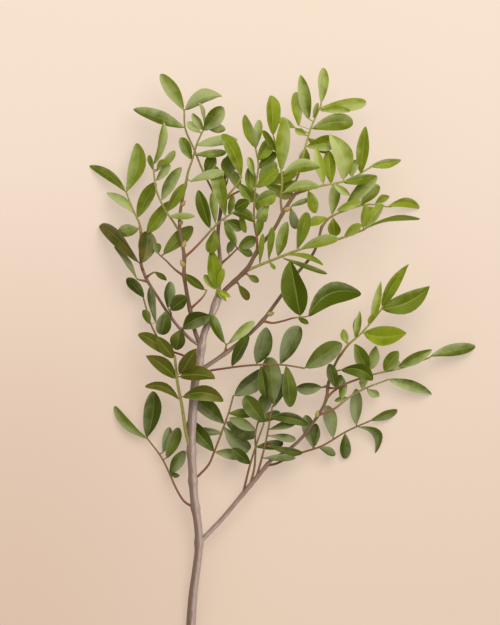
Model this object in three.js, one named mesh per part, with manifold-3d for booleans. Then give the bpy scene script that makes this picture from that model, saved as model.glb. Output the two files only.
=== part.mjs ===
// A cut stem of pistachio foliage, lying on a flat surface with its cut end towards -Y.
// Millimetres, +Z up. The stem is drawn in a plan whose X runs right and whose Y runs from the cut end to
// the crown; Z is the height above the surface. At the end the plan is moved so that the origin is the
// middle of the whole stem's outline, on the surface.
import * as THREE from 'three';
import { mergeVertices } from 'three/addons/utils/BufferGeometryUtils.js';
import Module from 'manifold-3d';

const wasm = await Module();
wasm.setup();

// Driving dimensions
const SEAT_GAP = 0.3; // between a stalk and the wood that it grows from
const BLADE_THICKNESS = 0.8; // leaflet, at its midrib
const BLADE_FOLD = 0.12; // rise of a leaflet's edges, as a share of its half width
const BLADE_ARCH = 0.07; // rise of a leaflet's middle, as a share of its length
const BLADE_ROLL = THREE.MathUtils.degToRad(20); // largest turn of a leaflet about its midrib
const PETIOLULE_RADIUS = 0.55; // little stalk of a leaflet
const RACHIS_RADII = [0.85, 0.6]; // leaf stalk, at its foot and at its end
const FOOT_CLEAR = 4; // shortest way from the wood's middle to a leaf's first leaflet
const WOOD_SIDES = 6;
const RACHIS_SIDES = 4;
const TIP_ON_FLOOR = 0.3; // height of a leaf tip that the stem rests on

// Colours
const BARK = 0x8d7b70;
const YOUNG_BARK = 0x7d6350;
const DARK_GREEN = 0x3f5a35;
const MID_GREEN = 0x55743c;
const BRIGHT_GREEN = 0x7c9a45;

// Stations along a leaflet's blade, and the blade's half width there as a share of its largest
const BLADE_STATIONS = [
  [0.0, 0],
  [0.3, 0.92],
  [0.7, 0.84],
];

// A closed geometry as a solid that can be joined and cut
function solid(geometry) {
  geometry.deleteAttribute('normal');
  geometry.deleteAttribute('uv');
  const merged = mergeVertices(geometry, 1e-4);
  const vertProperties = new Float32Array(merged.attributes.position.array);
  const triVerts = new Uint32Array(merged.index.array);
  return new wasm.Manifold(new wasm.Mesh({ numProp: 3, vertProperties, triVerts }));
}

// The way back, from a solid to a named mesh
function mesh(name, shape, color, roughness) {
  const { vertProperties, triVerts } = shape.getMesh();
  const geometry = new THREE.BufferGeometry();
  geometry.setAttribute('position', new THREE.BufferAttribute(vertProperties, 3));
  geometry.setIndex(new THREE.BufferAttribute(triVerts, 1));
  geometry.computeVertexNormals();
  const material = new THREE.MeshStandardMaterial({ color, roughness, metalness: 0 });
  const piece = new THREE.Mesh(geometry, material);
  piece.name = name;
  return piece;
}

// A line through points of the plan, its height running evenly from one end to the other
function climb(points, low, high, steps) {
  const plan = new THREE.CatmullRomCurve3(points.map(([x, y]) => new THREE.Vector3(x, y, 0)));
  const places = plan.getSpacedPoints(steps);
  places.forEach((place, i) => {
    place.z = THREE.MathUtils.lerp(low, high, i / steps);
  });
  return places;
}

// A round stalk along a line: a cylinder bent to it, its radius running through the given list
function stalk(line, radii, sides, extra = 0) {
  const steps = line.length - 1;
  const geometry = new THREE.CylinderGeometry(1, 1, 1, sides, steps);
  const place = geometry.attributes.position;
  const upwards = new THREE.Vector3(0, 0, 1);
  for (let i = 0; i < place.count; i += 1) {
    const step = Math.round((place.getY(i) + 0.5) * steps);
    const along = (step / steps) * (radii.length - 1);
    const k = Math.min(Math.floor(along), radii.length - 2);
    const radius = THREE.MathUtils.lerp(radii[k], radii[k + 1], along - k) + extra;
    const ahead = line[Math.min(step + 1, steps)].clone().sub(line[Math.max(step - 1, 0)]).normalize();
    const across = new THREE.Vector3().crossVectors(ahead, upwards).normalize();
    const up = new THREE.Vector3().crossVectors(across, ahead);
    const point = line[step].clone();
    point.addScaledVector(across, radius * place.getX(i));
    point.addScaledVector(up, radius * place.getZ(i));
    place.setXYZ(i, point.x, point.y, point.z);
  }
  return solid(geometry);
}

// The place on a line nearest to a point of the plan, clear of the line's first stretch and of its end
function nearest(line, x, y, clear = 0) {
  const samples = 40;
  const steps = line.length - 1;
  const length = line[0].distanceTo(line[1]) * steps;
  const first = Math.min(clear / length, 0.8);
  let best = null;
  let least = Infinity;
  for (let i = 0; i <= samples * steps; i += 1) {
    const share = THREE.MathUtils.lerp(first, 0.98, i / (samples * steps));
    const k = Math.floor(share * steps);
    const point = line[k].clone().lerp(line[k + 1], share * steps - k);
    const far = Math.hypot(point.x - x, point.y - y);
    if (far < least) {
      best = point;
      least = far;
    }
  }
  return best;
}

// One leaflet: a sphere drawn out along a little stalk and a pointed blade, folded along its midrib.
// The sphere's first pole lies inside the leaf stalk, its second is the leaflet's tip.
function leaflet(foot, base, tip, width, roll, bow) {
  const rings = BLADE_STATIONS.length + 2;
  const geometry = new THREE.SphereGeometry(1, 4, rings);
  const place = geometry.attributes.position;
  const run = tip.clone().sub(base);
  const flat = new THREE.Vector3(-run.y, run.x, 0).normalize();
  const bowed = flat.clone().multiplyScalar(flat.y < 0 ? -bow : bow);
  const along = run.clone().normalize();
  const across = flat.clone().applyAxisAngle(along, roll);
  const up = new THREE.Vector3().crossVectors(along, across);
  const inside = foot.clone().addScaledVector(base.clone().sub(foot).normalize(), -PETIOLULE_RADIUS);
  for (let i = 0; i < place.count; i += 1) {
    const ring = Math.round((Math.acos(THREE.MathUtils.clamp(place.getY(i), -1, 1)) / Math.PI) * rings);
    const reach = Math.sin((ring / rings) * Math.PI);
    const pole = ring % rings === 0;
    const side = pole ? 0 : place.getX(i) / reach;
    const rise = pole ? 0 : place.getZ(i) / reach;
    const point = [inside, foot][ring]?.clone() ?? tip.clone();
    let half = PETIOLULE_RADIUS;
    if (ring > 1 && ring < rings) {
      const [share, profile] = BLADE_STATIONS[ring - 2];
      const swell = 4 * share * (1 - share);
      half = Math.max((width / 2) * profile, PETIOLULE_RADIUS);
      point.copy(base).addScaledVector(run, share).addScaledVector(bowed, swell);
      point.z += BLADE_ARCH * run.length() * swell;
    }
    point.addScaledVector(across, half * side);
    point.addScaledVector(up, half * BLADE_FOLD * Math.abs(side) + (BLADE_THICKNESS / 2) * rise);
    place.setXYZ(i, point.x, point.y, point.z);
  }
  return solid(geometry);
}

const stem = new THREE.Group();
const wood = {}; // each woody piece's line, and the room that what grows from it leaves clear

// A piece's line: a side piece starts on the middle of its carrier, where that is nearest to its first point
function grow(carriers, points, low, high) {
  const [from, ...rest] = points;
  if (!carriers.length) {
    return climb(points, low, high, points.length);
  }
  const seat = nearest(wood[carriers[0]].line, ...from);
  return climb([[seat.x, seat.y], ...rest], seat.z, high, points.length);
}

// A side piece ends a hair off the wood that it grows from
function seated(shape, carriers) {
  return carriers.reduce((rest, carrier) => rest.subtract(wood[carrier].room), shape);
}

// A woody piece, its ends at the heights `low` and `high`. Points are [x, y]; buds are [x, y, radius].
function branch(name, carriers, color, [low, high], radii, points, buds = []) {
  const line = grow(carriers, points, low, high);
  let shape = stalk(line, radii, WOOD_SIDES);
  for (const [x, y, radius] of buds) {
    const bud = new THREE.SphereGeometry(radius, 6, 4);
    bud.translate(x, y, nearest(line, x, y).z);
    shape = shape.add(solid(bud));
  }
  wood[name] = { line, room: stalk(line, radii, WOOD_SIDES, SEAT_GAP) };
  stem.add(mesh(name, seated(shape, carriers), color, 0.8));
}

let leafletCount = 0; // runs on through the stem, so that neighbouring leaflets turn differently

// A leaf. Its stalk runs from its carrier through the plan's points and ends at the height `high`.
// Leaflets are [base x, base y, tip x, tip y, tip z, width, bow, roll in degrees], the last two if given.
function leaf(name, carriers, color, high, points, leaflets) {
  const line = grow(carriers, points, null, high);
  let shape = stalk(line, RACHIS_RADII, RACHIS_SIDES);
  for (const [bx, by, tx, ty, tz, width, bow = 0, roll = null] of leaflets) {
    const foot = nearest(line, bx, by, FOOT_CLEAR);
    const reach = Math.hypot(bx - foot.x, by - foot.y);
    const base = new THREE.Vector3(bx, by, foot.z + 0.2 * reach);
    const tip = new THREE.Vector3(tx, ty, tz);
    leafletCount += 1;
    const turn = roll === null ? BLADE_ROLL * Math.sin(2.4 * leafletCount) : THREE.MathUtils.degToRad(roll);
    shape = shape.add(leaflet(foot, base, tip, width, turn, bow));
  }
  stem.add(mesh(name, seated(shape, carriers), color, 0.5));
}

// Wood, from the cut end up
branch('main_stem', [], BARK, [3.8, 36], [3.5, 3.4, 3, 2.9, 3, 3.1, 3.3, 2.9, 2.5, 2.5], [
  [-44, -28], [-42.7, 0], [-41.3, 20], [-38.7, 40], [-37, 55], [-37.5, 70], [-40.2, 90], [-41.5, 110],
  [-42.3, 130], [-41.5, 150], [-39.5, 175], [-36.3, 190], [-33, 210], [-28.7, 220], [-25, 230], [-22.5, 237],
]);
branch('right_branch', ['main_stem'], BARK, [14, 17], [1.9, 1.6, 1.4], [
  [-37, 59], [-31, 64.5], [-20, 76], [-10, 88], [0, 100], [10, 112], [14, 117],
]);
branch('right_shoot', ['right_branch'], YOUNG_BARK, [17, 26], [1.3, 1.1, 0.9], [
  [12, 114.5], [15, 118], [25, 124], [36, 133], [46, 146], [54.5, 161], [57, 176], [63, 191], [66, 195.5],
], [[47.8, 151, 1.5]]);
branch('left_leader', ['main_stem'], YOUNG_BARK, [32, 46], [1.6, 1.3, 1], [
  [-35.5, 201], [-38.5, 208], [-40.5, 215], [-44.5, 234], [-47.3, 252], [-47.3, 266], [-50, 281], [-50.5, 293],
  [-47.5, 311], [-45.8, 318],
], [[-48.9, 259, 1.7], [-46.6, 273, 1.6], [-49.2, 288, 1.5], [-47.8, 302, 1.5]]);
branch('left_twig', ['main_stem', 'left_leader'], YOUNG_BARK, [32, 26], [1.2, 1, 0.85], [
  [-36, 201], [-43, 206], [-50, 213], [-58, 223], [-67, 237], [-75.5, 251], [-79, 264], [-78.5, 284],
]);
branch('middle_branch', ['main_stem'], YOUNG_BARK, [29, 36], [1.6, 1.3, 0.9], [
  [-37, 183], [-28, 188.5], [-12, 200], [0, 210], [9, 219], [18, 231], [33, 252], [46, 268.5], [52, 288],
], [[14.5, 222.5, 1.7]]);
branch('upright_shoot', ['main_stem'], YOUNG_BARK, [35, 48], [1.5, 1.3, 1.1], [
  [-23.5, 234], [-22.3, 243], [-21.5, 262], [-23, 282], [-20, 304], [-18, 322], [-16, 338],
]);
branch('right_leader', ['main_stem', 'upright_shoot'], YOUNG_BARK, [35, 52], [1.7, 1.4, 1.1], [
  [-25, 230], [-19, 240], [-10, 248.5], [-2, 256.5], [4, 267], [10, 276], [17, 284.5], [25, 299], [33, 311],
], [[26.5, 297.5, 1.8]]);

// Leaves low on the stem
leaf('leaf_low_left', ['main_stem'], DARK_GREEN, 7, [
  [-41, 84], [-47, 88], [-53, 97], [-58, 108], [-64, 120], [-74.5, 134],
], [
  [-75, 134, -98.5, 157, TIP_ON_FLOOR, 7, -3], [-74.5, 135, -70, 168, 5, 13, -2], [-60, 120, -52, 142, 12, 10],
  [-63, 124, -58, 142, 9, 6], [-57.5, 108.5, -47, 125, 14, 9], [-57.5, 108, -51, 107, 15, 4],
]);
leaf('leaf_front_left', ['main_stem'], MID_GREEN, 46, [
  [-42, 125], [-46, 138], [-49, 158], [-52, 174], [-54, 194],
], [
  [-51.5, 163, -75.5, 172, 34, 7, 4.5], [-48, 164.5, -19, 161.5, 39, 11, 4.5], [-54, 178, -75, 194, 40, 10, 2],
  [-50, 179, -25, 177.5, 45, 11, 2], [-50, 181, -38.5, 199, 52, 11], [-54.8, 192.5, -67, 208, 45, 9],
  [-60, 195, -80.5, 210, 39, 9, 2],
]);
leaf('leaf_back_left', ['main_stem'], DARK_GREEN, 14, [
  [-37.5, 188], [-48, 194], [-60, 199], [-70, 213], [-77, 235],
], [
  [-77, 236, -89, 250, 6, 8], [-68, 218, -72, 244, 12, 6], [-72.5, 217, -77, 227, 15, 6],
]);
leaf('leaf_low_centre', ['main_stem'], DARK_GREEN, 15, [
  [-41, 103], [-30, 115], [-26, 124], [-21, 137], [-15, 154], [-12, 165],
], [
  [-26.5, 125, -45, 147, 13, 11], [-24.5, 124, -3, 121, 12, 8], [-19, 145, -40, 163, 16, 13],
  [-20.5, 138, -40, 141, 10, 6], [-18.5, 142, 0, 125, 11, 11, -2], [-17, 146, 4, 135, 13, 11],
  [-15, 152, 3, 152, 15, 7], [-11, 165, 13, 184, 15, 14],
]);
leaf('leaf_small_centre', ['right_branch'], DARK_GREEN, 27, [
  [-5.5, 93.5], [-3, 103], [0, 115], [5, 131], [10, 145],
], [[0, 116, -13, 127, 24, 8], [10, 146, -4, 164.5, 29, 12]]);
leaf('leaf_upright_centre', ['right_branch'], DARK_GREEN, 28, [
  [5, 106], [8, 118], [11, 130], [13, 140], [16, 157],
], [
  [17, 159, 14, 193, 28, 14], [17.5, 157.5, 25, 181, 25, 11], [15, 149, 42, 144, 30, 8, 3],
  [15, 141, 34, 147, 26, 6], [15, 136, 33, 133, 24, 6], [15, 128, 38, 124, 23, 6], [11, 120, 33, 120, 23, 5],
]);

// Leaves of the right side
leaf('leaf_low_right', ['right_branch', 'right_shoot'], DARK_GREEN, 6, [
  [12, 114.5], [18, 115.5], [25, 118.5], [37, 123.5], [52, 128.5], [70, 139], [87, 146.5],
], [
  [45.5, 128, 40, 151, 8, 9], [46, 128, 48, 145, 8, 7], [50, 127.5, 62, 122, 7, 6], [60, 135, 56, 158, 7, 10],
  [69, 137, 69, 119, 3, 8], [77, 144, 77, 170, 5, 9], [88, 147, 107, 154, TIP_ON_FLOOR, 7],
  [79, 142, 91, 123, TIP_ON_FLOOR, 7, 8],
]);
leaf('leaf_right_lower', ['right_shoot'], MID_GREEN, 12, [
  [50.5, 150], [60, 155], [72, 164], [84, 170.5], [100, 176.5],
], [
  [70, 163.5, 61, 161, 17, 4], [66, 162, 68, 177, 15, 6], [81.5, 169.5, 83, 180, 12, 6],
  [85, 169.5, 94, 164, 9, 6], [101, 176.5, 132, 165.5, TIP_ON_FLOOR, 8, 0.5],
]);
leaf('leaf_right_long', ['right_shoot'], MID_GREEN, 13, [
  [55, 163], [60, 168], [68, 173], [88, 180], [110, 185], [130, 192.5],
], [
  [85, 184, 75, 202.5, 24, 10], [87, 184, 91, 201, 22, 8], [97, 183, 107, 197, 22, 10],
  [101, 184, 108, 190, 13, 7], [108, 186, 131, 198, 17, 8], [131, 193.5, 163.5, 200.5, TIP_ON_FLOOR, 9, 0.5],
]);
leaf('leaflet_right_arched', ['right_shoot'], MID_GREEN, 28, [[60, 183], [62.5, 183], [65, 183.5]], [
  [66, 183.7, 88.8, 176.8, 27, 10.5, 4],
]);
leaf('leaflet_right_inner', ['right_shoot'], DARK_GREEN, 25, [[56, 172], [54, 171.5], [51.5, 171]], [
  [51.5, 171, 33, 170, 25, 9],
]);
leaf('leaf_pair_right', ['right_shoot'], DARK_GREEN, 29, [[56, 170], [60, 170.5], [62, 171]], [
  [61.5, 171.5, 57, 188, 33, 8], [62, 171.5, 66, 180, 25, 6],
]);
leaf('leaf_right_top', ['right_shoot'], BRIGHT_GREEN, 36, [
  [65, 194], [71, 202], [79, 209], [88, 219], [95, 228],
], [
  [70, 203, 67, 213, 24, 6], [77, 209, 76, 221, 31, 6], [76, 207, 79, 226, 37, 5],
  [82, 210, 113, 210.5, 29, 14, -3], [85.5, 217, 88, 224, 38, 4], [88, 219, 94, 248, 43, 6, -0.5],
  [95, 230, 114, 260, 37, 8, 1.5], [95, 227.5, 130, 244, 30, 14, -3.5],
]);

// Leaves of the middle
leaf('leaf_middle_right', ['main_stem', 'middle_branch'], DARK_GREEN, 40, [
  [-38.5, 179], [-29, 183], [-20, 184.5], [0, 187], [22, 187.5], [39, 185],
], [
  [-13, 187, -1, 208, 42, 9], [5, 188.5, 12, 214, 43, 13], [22, 188.5, 36, 215, 44, 13],
  [40, 185.5, 66, 203, 37, 14], [8, 186, 12, 164, 40, 8], [26, 186, 29, 157, 36, 11],
]);
leaf('leaf_pair_middle', ['middle_branch'], MID_GREEN, 34, [[-18.5, 195.5], [-17.5, 199], [-17, 202]], [
  [-18.5, 203.5, -28.5, 224.5, 42, 7, -1], [-15, 203, 3, 218.5, 40, 7],
]);
leaf('leaf_broad_middle', ['middle_branch'], MID_GREEN, 48, [
  [9, 219], [16, 217.5], [24, 219], [31, 221], [40, 222],
], [[36, 223, 29, 262, 52, 18], [42, 222.5, 80, 238.5, 42, 17, 9], [35, 220.5, 42, 217, 49, 4]]);

// Leaves of the left side
leaf('leaf_left_low', ['left_twig'], DARK_GREEN, 37, [[-49, 212], [-48.5, 213], [-49, 214]], [
  [-48, 213.5, -29, 223, 42, 12, 2], [-50, 212, -53, 198, 35, 11],
]);
leaf('leaf_left_middle', ['left_twig'], DARK_GREEN, 37, [[-57, 222], [-57, 225], [-58, 226.5]], [
  [-57, 227, -45, 236, 43, 11], [-59, 228.5, -57, 247, 43, 8], [-60, 226, -64, 209, 36, 11],
]);
leaf('leaflet_left_small', ['left_twig'], DARK_GREEN, 32, [[-75, 250], [-71, 253], [-69, 254]], [
  [-68, 254, -60, 248, 34, 4],
]);
leaf('leaflet_left_edge', ['left_twig'], DARK_GREEN, 28, [[-74, 248], [-79.5, 248.5], [-81, 249]], [
  [-82, 250, -98.5, 272.5, 15, 8, 0, 55],
]);
leaf('leaf_pair_left', ['left_twig'], DARK_GREEN, 32, [[-77, 255], [-78, 257], [-79, 260]], [
  [-80.5, 261.5, -109, 289, 12, 10, 2], [-77.5, 261, -74, 284, 34, 13, -1.5],
]);
leaf('leaf_left_tip', ['left_twig'], MID_GREEN, 15, [
  [-78.5, 283], [-80, 290], [-84, 298], [-89.5, 312],
], [
  [-90.5, 313, -116.5, 331.5, TIP_ON_FLOOR, 7, 2.5], [-89, 313, -81.5, 347.5, 12, 12, -4],
  [-84.2, 297.4, -104, 311.8, 10, 7, 1.5], [-81, 294, -68, 319, 21, 10], [-80.5, 285.5, -96, 283, 17, 9],
  [-74, 282, -58, 305, 27, 10],
]);
leaf('leaf_behind_leader', ['left_leader'], DARK_GREEN, 35, [
  [-47.3, 251], [-54, 256], [-60, 262], [-65, 266.5],
], [[-62, 267, -41, 287, 34, 11], [-66, 267.5, -68, 275, 37, 6]]);
leaf('leaf_small_fork', ['left_leader'], MID_GREEN, 42, [
  [-43, 227], [-38, 232], [-34, 236], [-31, 241],
], [[-33, 241.5, -47, 252.5, 47, 6]]);
leaf('leaf_upper_left', ['left_leader'], MID_GREEN, 42, [
  [-50, 282], [-55, 290], [-61, 299], [-67, 312], [-69.5, 329],
], [
  [-57.5, 294, -40, 294, 54, 5], [-59.5, 298, -47, 317.5, 53, 8], [-63.1, 306.2, -49, 329, 48, 9],
  [-67, 320, -57, 331, 45, 6], [-66.5, 327, -57, 333.5, 51, 4, 3], [-69.5, 331, -61, 361, 46, 8, -1.5, 45],
  [-64, 328, -54, 341, 48, 6], [-70, 328, -72, 338, 45, 4],
]);

// Leaves of the crown
leaf('leaf_top_left', ['left_leader'], MID_GREEN, 55, [
  [-46.2, 316.5], [-44, 327], [-41.5, 334], [-37.5, 347], [-32, 358.5],
], [
  [-42.5, 319, -18.5, 325.5, 57, 6.5, 1], [-39, 338, -17, 340, 52, 6], [-37.5, 345, -9, 349.5, 53, 8],
  [-33, 355.5, -19, 371.5, 59, 11.5], [-35.8, 354, -45, 361, 57, 6], [-34, 356, -41, 367.5, 59, 6],
  [-31.5, 358.5, -17.5, 356, 54, 7], [-32.5, 360, -36, 375, 60, 6, 0, 60], [-42, 335, -50, 350, 55, 8],
]);
leaf('leaf_top_left_tall', ['upright_shoot'], MID_GREEN, 40, [
  [-20.5, 301], [-26, 311], [-34, 327], [-40.5, 343], [-46.5, 357], [-47.3, 370],
], [
  [-48, 371, -64.5, 397, 34, 10], [-46.5, 371, -20, 381, 40, 11, 3], [-48, 358, -84, 371, 30, 10, 0.5],
  [-32, 325, -25, 337, 47, 9],
]);
leaf('leaf_crossing', ['left_leader'], MID_GREEN, 58, [
  [-47.3, 264], [-42, 269], [-36, 275], [-25, 287], [-17, 293.5], [0, 303.5],
], [
  [-29, 286, -37, 312.5, 54, 9], [-25, 290, -27, 311, 56, 6], [-25.3, 284.3, -28.5, 267.5, 48, 9],
  [-18, 295, -25.5, 330, 50, 10], [-18, 290, -10, 273, 50, 6], [-12, 296, 3, 290, 58, 8, 2],
  [-7, 296, -3, 282, 55, 5], [-11, 299, -1, 305, 61, 8], [-17, 290.5, -5, 285.5, 52, 8],
  [-15, 295.5, -12, 309, 59, 5],
]);
leaf('leaf_small_inner', ['upright_shoot'], DARK_GREEN, 41, [[-21.5, 260], [-14, 266], [-9, 271]], [
  [-16, 268, -11, 277, 45, 6], [-8, 271.5, 4, 279, 37, 9], [-11, 274, -15, 285, 43, 4],
  [-8, 270, 2, 266.5, 37, 6],
]);
leaf('leaf_bright_inner', ['upright_shoot'], BRIGHT_GREEN, 54, [[-20, 304], [-14, 311], [-9, 317], [-6, 322]], [
  [-6.5, 323, -20, 352, 68, 11, 2],
]);
leaf('leaflet_dark_inner', ['upright_shoot'], DARK_GREEN, 52, [[-18.5, 315], [-17, 317], [-16, 320]], [
  [-16, 321, -14, 336, 57, 11],
]);
leaf('young_sprouts', ['main_stem', 'upright_shoot', 'right_leader'], BRIGHT_GREEN, 43, [
  [-25, 231], [-25, 235], [-24, 240], [-23.5, 242],
], [
  [-24, 242.5, -28, 270, 42, 10], [-25, 242, -33, 252, 43, 6], [-23, 243, -19, 256, 48, 5],
  [-22, 241, -14, 236, 44, 4], [-23, 240, -17, 233, 44, 3],
]);
leaf('leaf_long_right', ['right_leader'], MID_GREEN, 46, [
  [-3, 255], [8, 259.5], [22, 265], [38, 271], [63, 277.5], [82, 284.5],
], [
  [37, 271, 63, 278, 52, 8, 1], [34, 271, 41, 297, 53, 9], [20, 266, 27, 290, 52, 9],
  [13.5, 264, 16, 286, 53, 5], [7, 261, 9, 281, 52, 4], [27, 266.5, 52.5, 259, 41, 4, 2.5], [24, 264, 55.5, 253, 40, 4],
  [14, 261, 18, 256, 42, 3], [68, 280, 80, 288, 48, 7], [81, 286, 83, 303, 45, 6], [83, 286, 96, 302.5, 42, 8],
  [83.5, 285.5, 123, 290.5, 32, 6, 5, 50],
]);
leaf('leaflet_fork_upper', ['right_leader'], DARK_GREEN, 40, [[-5, 253.5], [-2, 252.5], [-1, 251.5]], [
  [-1, 251.5, 6.5, 247, 38, 5],
]);
leaf('leaflet_fork_lower', ['right_leader'], DARK_GREEN, 38, [[-11, 247.5], [-8.5, 246], [-8, 244.5]], [
  [-8, 244.5, -1, 234, 35, 6],
]);
leaf('leaflet_dark_bud', ['right_leader'], DARK_GREEN, 48, [[25, 299], [28, 300.5], [29.5, 300]], [
  [29.5, 299.5, 33.5, 285, 43, 7], [30, 301.5, 44, 306.5, 47, 4],
]);
leaf('leaf_far_right', ['middle_branch'], BRIGHT_GREEN, 13, [
  [51.5, 286], [57, 293], [70, 299], [85, 303], [99, 301.5],
], [
  [59, 296, 62, 318, 34, 8], [60, 292.5, 61, 280, 30, 9], [69, 301, 91, 324, 27, 10],
  [55, 293, 41, 288, 35, 7], [63, 298.5, 80, 305, 30, 6], [80, 303, 93, 317, 20, 8], [82, 301, 95, 297, 19, 5],
  [91, 304, 101, 309, 14, 6], [100, 301.5, 123, 301, TIP_ON_FLOOR, 7, 4],
]);
leaf('leaf_upper_right', ['right_leader'], BRIGHT_GREEN, 41, [
  [32, 309.5], [40, 312.5], [50, 315.5], [70, 320], [87, 329.5],
], [
  [67, 320.5, 57, 352.5, 52, 13.5, 5], [79.5, 325.5, 82.5, 358, 46, 9], [87, 330, 108.5, 335, 34, 7],
  [42, 311.5, 47, 296, 45, 8], [52.5, 318, 47, 344, 50, 7], [60, 317, 72, 309, 42, 5],
  [73, 322.5, 76, 335, 43, 7], [67, 318.6, 91, 323.5, 36, 7], [58, 318, 56.5, 341, 45, 9],
]);
leaf('leaf_bright_upright', ['right_leader'], BRIGHT_GREEN, 63, [
  [23.5, 296.5], [22, 305], [23, 318], [21.5, 332], [17, 350],
], [
  [22.5, 327, 25, 363.5, 68, 10], [16.5, 352, 15, 380, 64, 11], [24, 323.5, 50, 329, 62, 10, 3],
  [24.5, 311, 49.5, 315, 60, 7.5, 3], [19, 340, 8.5, 354.5, 77, 5],
]);
leaf('leaf_inner_upright', ['right_leader'], MID_GREEN, 66, [
  [5, 268.5], [5, 277], [3, 290], [3, 302], [4, 315], [6, 330], [4, 342],
], [
  [3.5, 343, -4, 366, 70, 8], [6, 334, 15, 348.5, 62, 10], [6, 328, 19, 339, 60, 8],
  [5, 314.5, 20, 328, 56, 10], [0, 309, 0, 329, 52, 8], [3, 323, -1, 336, 60, 5], [4, 304, 18.5, 310, 55, 11],
  [4.8, 344, 6.5, 362.5, 67, 6], [5.5, 280, 8.5, 294, 57, 6], [4.4, 292.3, 13, 303, 53, 7],
  [2, 304, -7, 317, 56, 7],
]);
leaf('leaf_top_right', ['right_leader'], BRIGHT_GREEN, 45, [
  [29, 305], [30, 312], [35, 325], [40, 345], [44, 358], [51, 374],
], [
  [45, 357, 74, 362, 38, 12, 2], [50.5, 371.5, 84, 376, 33, 9], [51, 370, 72, 370, 44, 6],
  [51, 376, 53, 401, 41, 8], [35, 359, 33, 383, 50, 8], [42, 364, 36, 394.5, 52, 9], [40, 352, 32, 356, 52, 5],
  [45.5, 365, 49, 375, 52, 4], [40, 342.5, 38.5, 330.5, 43, 8], [41, 344, 62, 348, 40, 11],
  [32, 357.5, 20.5, 363.5, 56, 6], [42, 350, 57, 339, 38, 7],
]);

// Leaves in the shade of the others
leaf('leaf_shaded_crown', ['upright_shoot'], MID_GREEN, 30, [
  [-20, 304], [-12, 310], [-3, 314], [8, 317], [20, 319],
], [
  [7, 317.5, 18, 334, 30, 10], [13, 319, 34, 325, 29, 8], [11, 317, 31, 309, 27, 9], [1, 314, 12, 290, 27, 8],
  [-7, 313.5, -15, 327, 37, 8], [21, 319, 41, 313, 24, 8],
]);
leaf('leaf_low_inner', ['right_branch'], DARK_GREEN, 21, [
  [0, 99.5], [3, 112], [4, 125], [4, 138], [7, 150],
], [
  [7.5, 151, 15, 168, 21, 10], [3.5, 140, -15, 149, 20, 8], [6, 146, 22, 153, 19, 7], [5, 128, 24, 131, 17, 7],
]);

// The origin: the middle of the stem's outline, on the surface that it lies on
const outline = new THREE.Box3().setFromObject(stem, true);
const middle = outline.getCenter(new THREE.Vector3());
stem.position.set(-middle.x, -middle.y, -outline.min.z);

const part = new THREE.Group();
part.add(stem);

export default part;
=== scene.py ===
# %% [markdown]
# # A cut stem of pistachio foliage
# The stem lies on a table with its cut end towards -Y. A woody stem carries side branches, and they carry
# feather-shaped leaves: a thin stalk with small, leathery, pointed leaflets on both sides. The construction
# is already there as a frame of plain solids. This lesson gives every solid its looks: bark for the wood,
# and folded, veined blades for the leaves.

# %% Load the frame
import math
import random
from collections import namedtuple
from functools import partial

import bpy
from mathutils import Matrix, Vector


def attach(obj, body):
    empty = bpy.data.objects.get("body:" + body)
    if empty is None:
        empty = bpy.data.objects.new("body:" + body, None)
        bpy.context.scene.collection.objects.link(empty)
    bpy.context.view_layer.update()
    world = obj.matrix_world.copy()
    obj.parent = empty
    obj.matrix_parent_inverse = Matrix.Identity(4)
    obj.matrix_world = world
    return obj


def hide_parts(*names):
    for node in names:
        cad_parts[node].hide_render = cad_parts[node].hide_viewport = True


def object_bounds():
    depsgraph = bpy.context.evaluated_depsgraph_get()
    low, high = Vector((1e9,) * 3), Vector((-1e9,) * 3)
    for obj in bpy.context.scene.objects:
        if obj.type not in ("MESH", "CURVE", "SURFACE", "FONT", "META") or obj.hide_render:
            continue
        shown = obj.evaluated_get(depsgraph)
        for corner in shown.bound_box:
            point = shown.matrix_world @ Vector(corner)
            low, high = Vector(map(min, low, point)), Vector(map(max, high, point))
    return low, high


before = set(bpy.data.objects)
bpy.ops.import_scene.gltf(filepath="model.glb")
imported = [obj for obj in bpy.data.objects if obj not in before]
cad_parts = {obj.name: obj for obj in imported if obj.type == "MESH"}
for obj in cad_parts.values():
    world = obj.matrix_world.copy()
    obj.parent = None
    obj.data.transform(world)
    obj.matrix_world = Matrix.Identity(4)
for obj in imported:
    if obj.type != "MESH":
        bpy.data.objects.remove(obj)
CAD_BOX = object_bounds()
print("frame box", [[round(v, 4) for v in corner] for corner in CAD_BOX])

# %% [markdown]
# ## The plan
# The stem is drawn in a plan in millimetres: X to the right, Y from the cut end to the crown, Z the height
# above the table. Three places in the plan are outermost in the frame too, so they tell where the plan lies
# in the frame: the tip furthest right, the tip furthest up, and the tips that touch the table.

# %% From the plan to the frame
MM = 0.001
TIP_FURTHEST_RIGHT = 163.5
TIP_FURTHEST_UP = 401
TIP_ON_FLOOR = 0.3
PLAN = Vector((
    CAD_BOX[1][0] - TIP_FURTHEST_RIGHT * MM,
    CAD_BOX[1][1] - TIP_FURTHEST_UP * MM,
    CAD_BOX[0][2] - TIP_ON_FLOOR * MM,
))
print("plan's origin in the frame", [round(v, 4) for v in PLAN])

# %% [markdown]
# ## What grows where
# Wood is a finish, the piece that carries it, the heights of its two ends, its radii from end to end, the
# points that its middle runs through, and its buds as x, y and radius. A leaf is a finish, its carrier, the
# height of its stalk's end, the points of the stalk, and its leaflets: base x and y, tip x, y and z, width,
# and for some a sideways bow and a roll in degrees. These lists are the construction's own.

# %% The wood
Wood = namedtuple("Wood", "finish carrier ends radii points buds", defaults=[()])
Leaf = namedtuple("Leaf", "finish carrier high points leaflets")

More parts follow.
